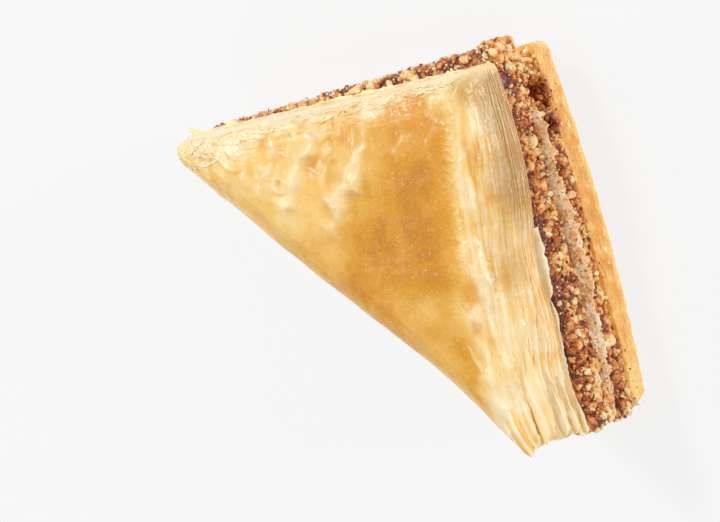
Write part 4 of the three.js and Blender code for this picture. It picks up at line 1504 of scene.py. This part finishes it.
# Middle phyllo: soft leaves between the fillings
middleSizes = {
    "front": (-0.6, 2.5, 1.1), "side": (0.8, -0.5), "back": -0.2, "left": -0.3, "tip": -1.2,
    "notch": 3.6, "notchFrom": 21.2, "notchTo": 23.0,  # torn away over the hollow, along x
    # Its rim from the low side up: share of its height, and how far back it lies there.
    "rim": ((0, 0.5), (0.08, 0.12), (0.16, 0.0), (0.28, 0.06), (0.4, 0.22), (0.52, 0.42),
            (0.64, 0.66), (0.76, 0.92), (0.88, 1.2), (1, 1.5)),
}
inNotch = smoothstep(middleSizes["notchFrom"], middleSizes["notchTo"], outline["points"][:, 0])
middleNotch = middleSizes["notch"] * inNotch * outline["follows"]["front"]


def middleBody():
    sizes = middleSizes
    points = outline["points"]
    ragged = 0.6 * waver(points, 0.3, 60, 4) + 0.1 - 0.8 * bump(outline["fromSquare"], 4.0)
    rim = moved({
        "front": curve(sizes["front"], outline["alongFront"]) - middleNotch,
        "side": within(sizes["side"], outline["alongSide"]),
        "back": sizes["back"] - hollowOf(points), "left": sizes["left"], "tip": sizes["tip"],
    }, ragged)
    low, high = boundaries["lowerFillingTop"] + 0.1, boundaries["middlePhylloTop"] - 0.05
    low = low + 0.35 + 0.3 * waver(points, 0.35, 64, 3)
    high = high + 0.1 * waver(points, 0.3, 65, 2)
    normal = np.column_stack([outline["normal"], np.zeros(count)])
    rows = [withHeight(centre + (rim - centre) * 0.9, low)]
    for t, back in sizes["rim"]:
        place = withHeight(rim, low + (high - low) * t)
        fray = 0.3 * waver(place, 0.9, 61, 3) + 0.3 * nutLumps(place, 0.7, 66)[0] - 0.15 - back
        rows.append(place + normal * fray[:, None])
    rows.append(withHeight(centre + (rim - centre) * 0.9, high))
    return closedBody(rows, np.r_[centre, low.mean()], np.r_[centre, high.mean()])


vertices, faces = middleBody()
tone = np.clip(0.2 + 0.3 * waver(vertices, 0.6, 62, 3), 0, 1)
softLeaves = meshPiece("softLeaves", vertices, faces, softPhyllo, {"tone": tone})
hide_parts("middle_phyllo")


# Bottom phyllo: syrupy leaves on a flat base
bottomSizes = {
    "lowFront": (-0.8, 1.9, 1.4), "highFront": (-0.7, 1.1, 1.8), "side": -0.2, "back": -0.3,
    "left": (-1.2, -0.2), "tip": -0.4, "leaves": 5, "cornerLip": 1.1,
    # The rim of each leaf from below: share of its height, and how far back it lies there.
    "rim": ((0.05, 0.02), (0.2, -0.03), (0.5, -0.07), (0.8, -0.03), (0.97, 0.06)),
}


def bottomBody():
    sizes = bottomSizes
    points = outline["points"]
    high = boundaries["bottomPhylloTop"] - 0.1
    normal = np.column_stack([outline["normal"], np.zeros(count)])
    rows = []
    steps = [(0.0, 0.35)]
    for leaf in range(sizes["leaves"]):
        for part, back in sizes["rim"]:
            steps.append(((leaf + part) / sizes["leaves"], back))
    for t, back in steps:
        front = curve(sizes["lowFront"], outline["alongFront"]) * (1 - t)
        front = front + curve(sizes["highFront"], outline["alongFront"]) * t
        rim = moved({
            "front": front,
            "side": sizes["side"] + sizes["cornerLip"] * bump(outline["fromSquare"], 6.0),
            "back": sizes["back"] - hollowOf(points),
            "left": within(sizes["left"], t), "tip": sizes["tip"],
        })
        leafNumber = math.floor(t * sizes["leaves"])
        wave = 0.3 / sizes["leaves"] * waver(points, 0.2, 70 + leafNumber) * math.sin(math.pi * t)
        place = withHeight(rim, high * np.clip(t + wave, 0, 1))
        fray = 0.1 * waver(points, 0.2, 80 + leafNumber, 2) + 0.12 * waver(place, 0.5, 90, 3)
        fray = fray - 0.7 * back
        rows.append(place + normal * fray[:, None])
    rows.append(withHeight(centre + (rows[-1][:, :2] - centre) * 0.9, high))
    return closedBody(rows, np.r_[centre, 0.0], np.r_[centre, high.mean()])


vertices, faces = bottomBody()
tone = 0.36 + 0.14 * waver(vertices * np.array((1, 1, 1.4)), 0.4, 91, 3)
tone = tone - 0.4 * smoothstep(1.3, 0.2, vertices[:, 2])  # painted light: paler at its foot, standing in for light coming through and the highlight along its low edge
tone = tone - 0.28 * smoothstep(-14, -24, vertices[:, 0])
tone = tone - 0.15 * smoothstep(18, 26, vertices[:, 0])
tone = tone + 0.7 * hollowShade(vertices) * smoothstep(3.0, 3.6, vertices[:, 2])
tone = np.clip(tone, 0, 1)
baseLeaves = meshPiece("baseLeaves", vertices, faces, syrupedPhyllo, {"tone": tone})
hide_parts("bottom_phyllo")

# Crumbs that stick to the soft leaves, and to the ledge and the side of the base
stuckCrumbs = {
    "soft": {"amount": 1000, "radius": (0.1, 0.34), "level": 1, "tone": (0.0, 0.7)},
    "base": {"amount": 380, "radius": (0.1, 0.3), "level": 1, "tone": (0.1, 1.0)},
    "ledge": {"amount": 480, "radius": (0.2, 0.75), "level": 2, "tone": (0.0, 0.85)},
}
stuckKind = {"cuts": 4, "stretch": (1.15, 0.9, 0.7), "dent": 0.3, "toneSkew": 1.0}
softRim = moved({
    "front": curve(middleSizes["front"], outline["alongFront"]) - middleNotch, "side": 0.1,
    "back": middleSizes["back"] - hollowOf(outline["points"]),
    "left": middleSizes["left"], "tip": middleSizes["tip"],
})
baseRim = moved({
    "front": curve(bottomSizes["highFront"], outline["alongFront"]), "side": bottomSizes["side"],
    "back": bottomSizes["back"] - hollowOf(outline["points"]),
    "left": bottomSizes["left"][1], "tip": bottomSizes["tip"],
})


def stickCrumbs(sizes, rng):
    parts, masks = [], []
    for zone, values in sizes.items():
        at = rng.integers(0, count, values["amount"])
        if zone == "ledge":  # most of them lie near the square corner
            near = np.flatnonzero(outline["fromSquare"] < 13)
            at = np.where(rng.random(len(at)) < 0.6, rng.choice(near, len(at)), at)
        radius = within(values["radius"], rng.random(len(at)) ** 1.8)
        if zone == "soft":
            rim = softRim
            low, high = boundaries["lowerFillingTop"][at], boundaries["middlePhylloTop"][at]
            up = rng.random(len(at)) ** 0.8  # over its sloping rim
            z = low + (high - low) * (0.2 + 0.85 * up)
            inward = -0.1 * radius - 1.5 * np.maximum(0, up - 0.15) ** 1.3
        elif zone == "base":
            rim, high = baseRim, boundaries["bottomPhylloTop"][at]
            z = high * (1 - 0.9 * rng.random(len(at)) ** 1.7)
            inward = 0.1 * radius
        else:
            rim, high = baseRim, boundaries["bottomPhylloTop"][at]
            inward = -0.2 - 3.8 * rng.random(len(at))
            z = high - 0.1 + 0.3 * radius
        plan = rim[at] + outline["normal"][at] * inward[:, None]
        kind = dict(stuckKind, level=values["level"], tone=values["tone"])
        vertices, faces, mask = placeCrumbs(np.column_stack([plan, z]), radius, kind, rng)
        parts.append((vertices, faces))
        masks.append(mask)
    vertices, faces = joinParts(parts)
    return vertices, faces, joinMasks(masks)


vertices, faces, masks = stickCrumbs(stuckCrumbs, rng)
meshPiece("stuckCrumbs", vertices, faces, choppedNut, masks)
print("layers laid")


# Camera: looks down on the piece, turned so that the square corner is at the top
cameraSizes = {
    "azimuth": 9.3, "elevation": 50.3, "roll": -111.7, "distance": 346.0,
    "lens": 102.1, "sensor": 36.0,
    "aim": (0.0, 0.0, 12.0), "slide": (-8.8, 1.0),
    "clip": (0.01, 20.0),  # in metres
}


def cameraAxes(sizes):
    azimuth, elevation = math.radians(sizes["azimuth"]), math.radians(sizes["elevation"])
    level = math.cos(elevation)
    back = Vector((math.sin(azimuth) * level, -math.cos(azimuth) * level, math.sin(elevation)))
    right = Vector((0, 0, 1)).cross(back).normalized()
    up = back.cross(right)
    cos, sin = math.cos(math.radians(sizes["roll"])), math.sin(math.radians(sizes["roll"]))
    return cos * right + sin * up, -sin * right + cos * up, back


right, up, back = cameraAxes(cameraSizes)
aim = Vector(cameraSizes["aim"]) + Vector((*outlineSizes["toFrame"], 0))
slideRight, slideUp = cameraSizes["slide"]
place = aim + slideRight * right + slideUp * up + cameraSizes["distance"] * back
camera = bpy.data.cameras.new("camera")
camera.lens, camera.sensor_width = cameraSizes["lens"], cameraSizes["sensor"]
camera.clip_start, camera.clip_end = cameraSizes["clip"]
cameraObject = bpy.data.objects.new("camera", camera)
turn = Matrix((right, up, back)).transposed().to_4x4()
cameraObject.matrix_world = Matrix.Translation(place * mm) @ turn
bpy.context.collection.objects.link(cameraObject)
bpy.context.scene.camera = cameraObject

# Light and floor
lightSizes = {
    # name: towards the right, the top and the viewer, distance, size, watts
    "keyLight": (-0.85, 0.35, 0.5, 1200, 230, 6.2),
    "sheenLight": (-0.98, -0.05, -0.2, 1200, 240, 2.5),
    "sideLight": (0.65, 0.2, 1.0, 1200, 320, 5.4),
    "lowLight": (-0.4, -0.8, 0.6, 1200, 600, 1.8),
}
studio = {
    "lightAim": (0, 0, 12),
    "worldStrength": 0.38,
    "floorHalf": 3.0,  # in metres
    "floorBase": 0.14,
    "floorGlow": 0.795,
}
for name, (toRight, toTop, toViewer, distance, size, watts) in lightSizes.items():
    direction = (toRight * right + toTop * up + toViewer * back).normalized()
    light = bpy.data.lights.new(name, "AREA")
    light.shape, light.size, light.energy = "DISK", size * mm, watts
    lamp = bpy.data.objects.new(name, light)
    lamp.location = (Vector(studio["lightAim"]) + direction * distance) * mm
    lamp.rotation_euler = direction.to_track_quat("Z", "Y").to_euler()
    bpy.context.collection.objects.link(lamp)

world = bpy.data.worlds.new("studio")
world.use_nodes = True
background = world.node_tree.nodes["Background"]
background.inputs["Color"].default_value = (1, 1, 1, 1)
background.inputs["Strength"].default_value = studio["worldStrength"]
bpy.context.scene.world = world
bpy.context.scene.view_settings.view_transform = "Standard"

floorMaterial, nodes, links, shader = nodeMaterial("paleFloor")
shader.inputs["Base Color"].default_value = (studio["floorBase"],) * 3 + (1,)
shader.inputs["Roughness"].default_value = 1.0
shader.inputs["Specular IOR Level"].default_value = 0.0
shader.inputs["Emission Color"].default_value = (1, 1, 1, 1)
shader.inputs["Emission Strength"].default_value = studio["floorGlow"]
floorMesh = bpy.data.meshes.new("floor")
half = studio["floorHalf"]
floorCorners = [(-half, -half, 0), (half, -half, 0), (half, half, 0), (-half, half, 0)]
floorMesh.from_pydata(floorCorners, [], [(0, 1, 2, 3)])
floorMesh.materials.append(floorMaterial)
floor = bpy.data.objects.new("floor", floorMesh)
bpy.context.collection.objects.link(floor)
print("camera, light and floor set")
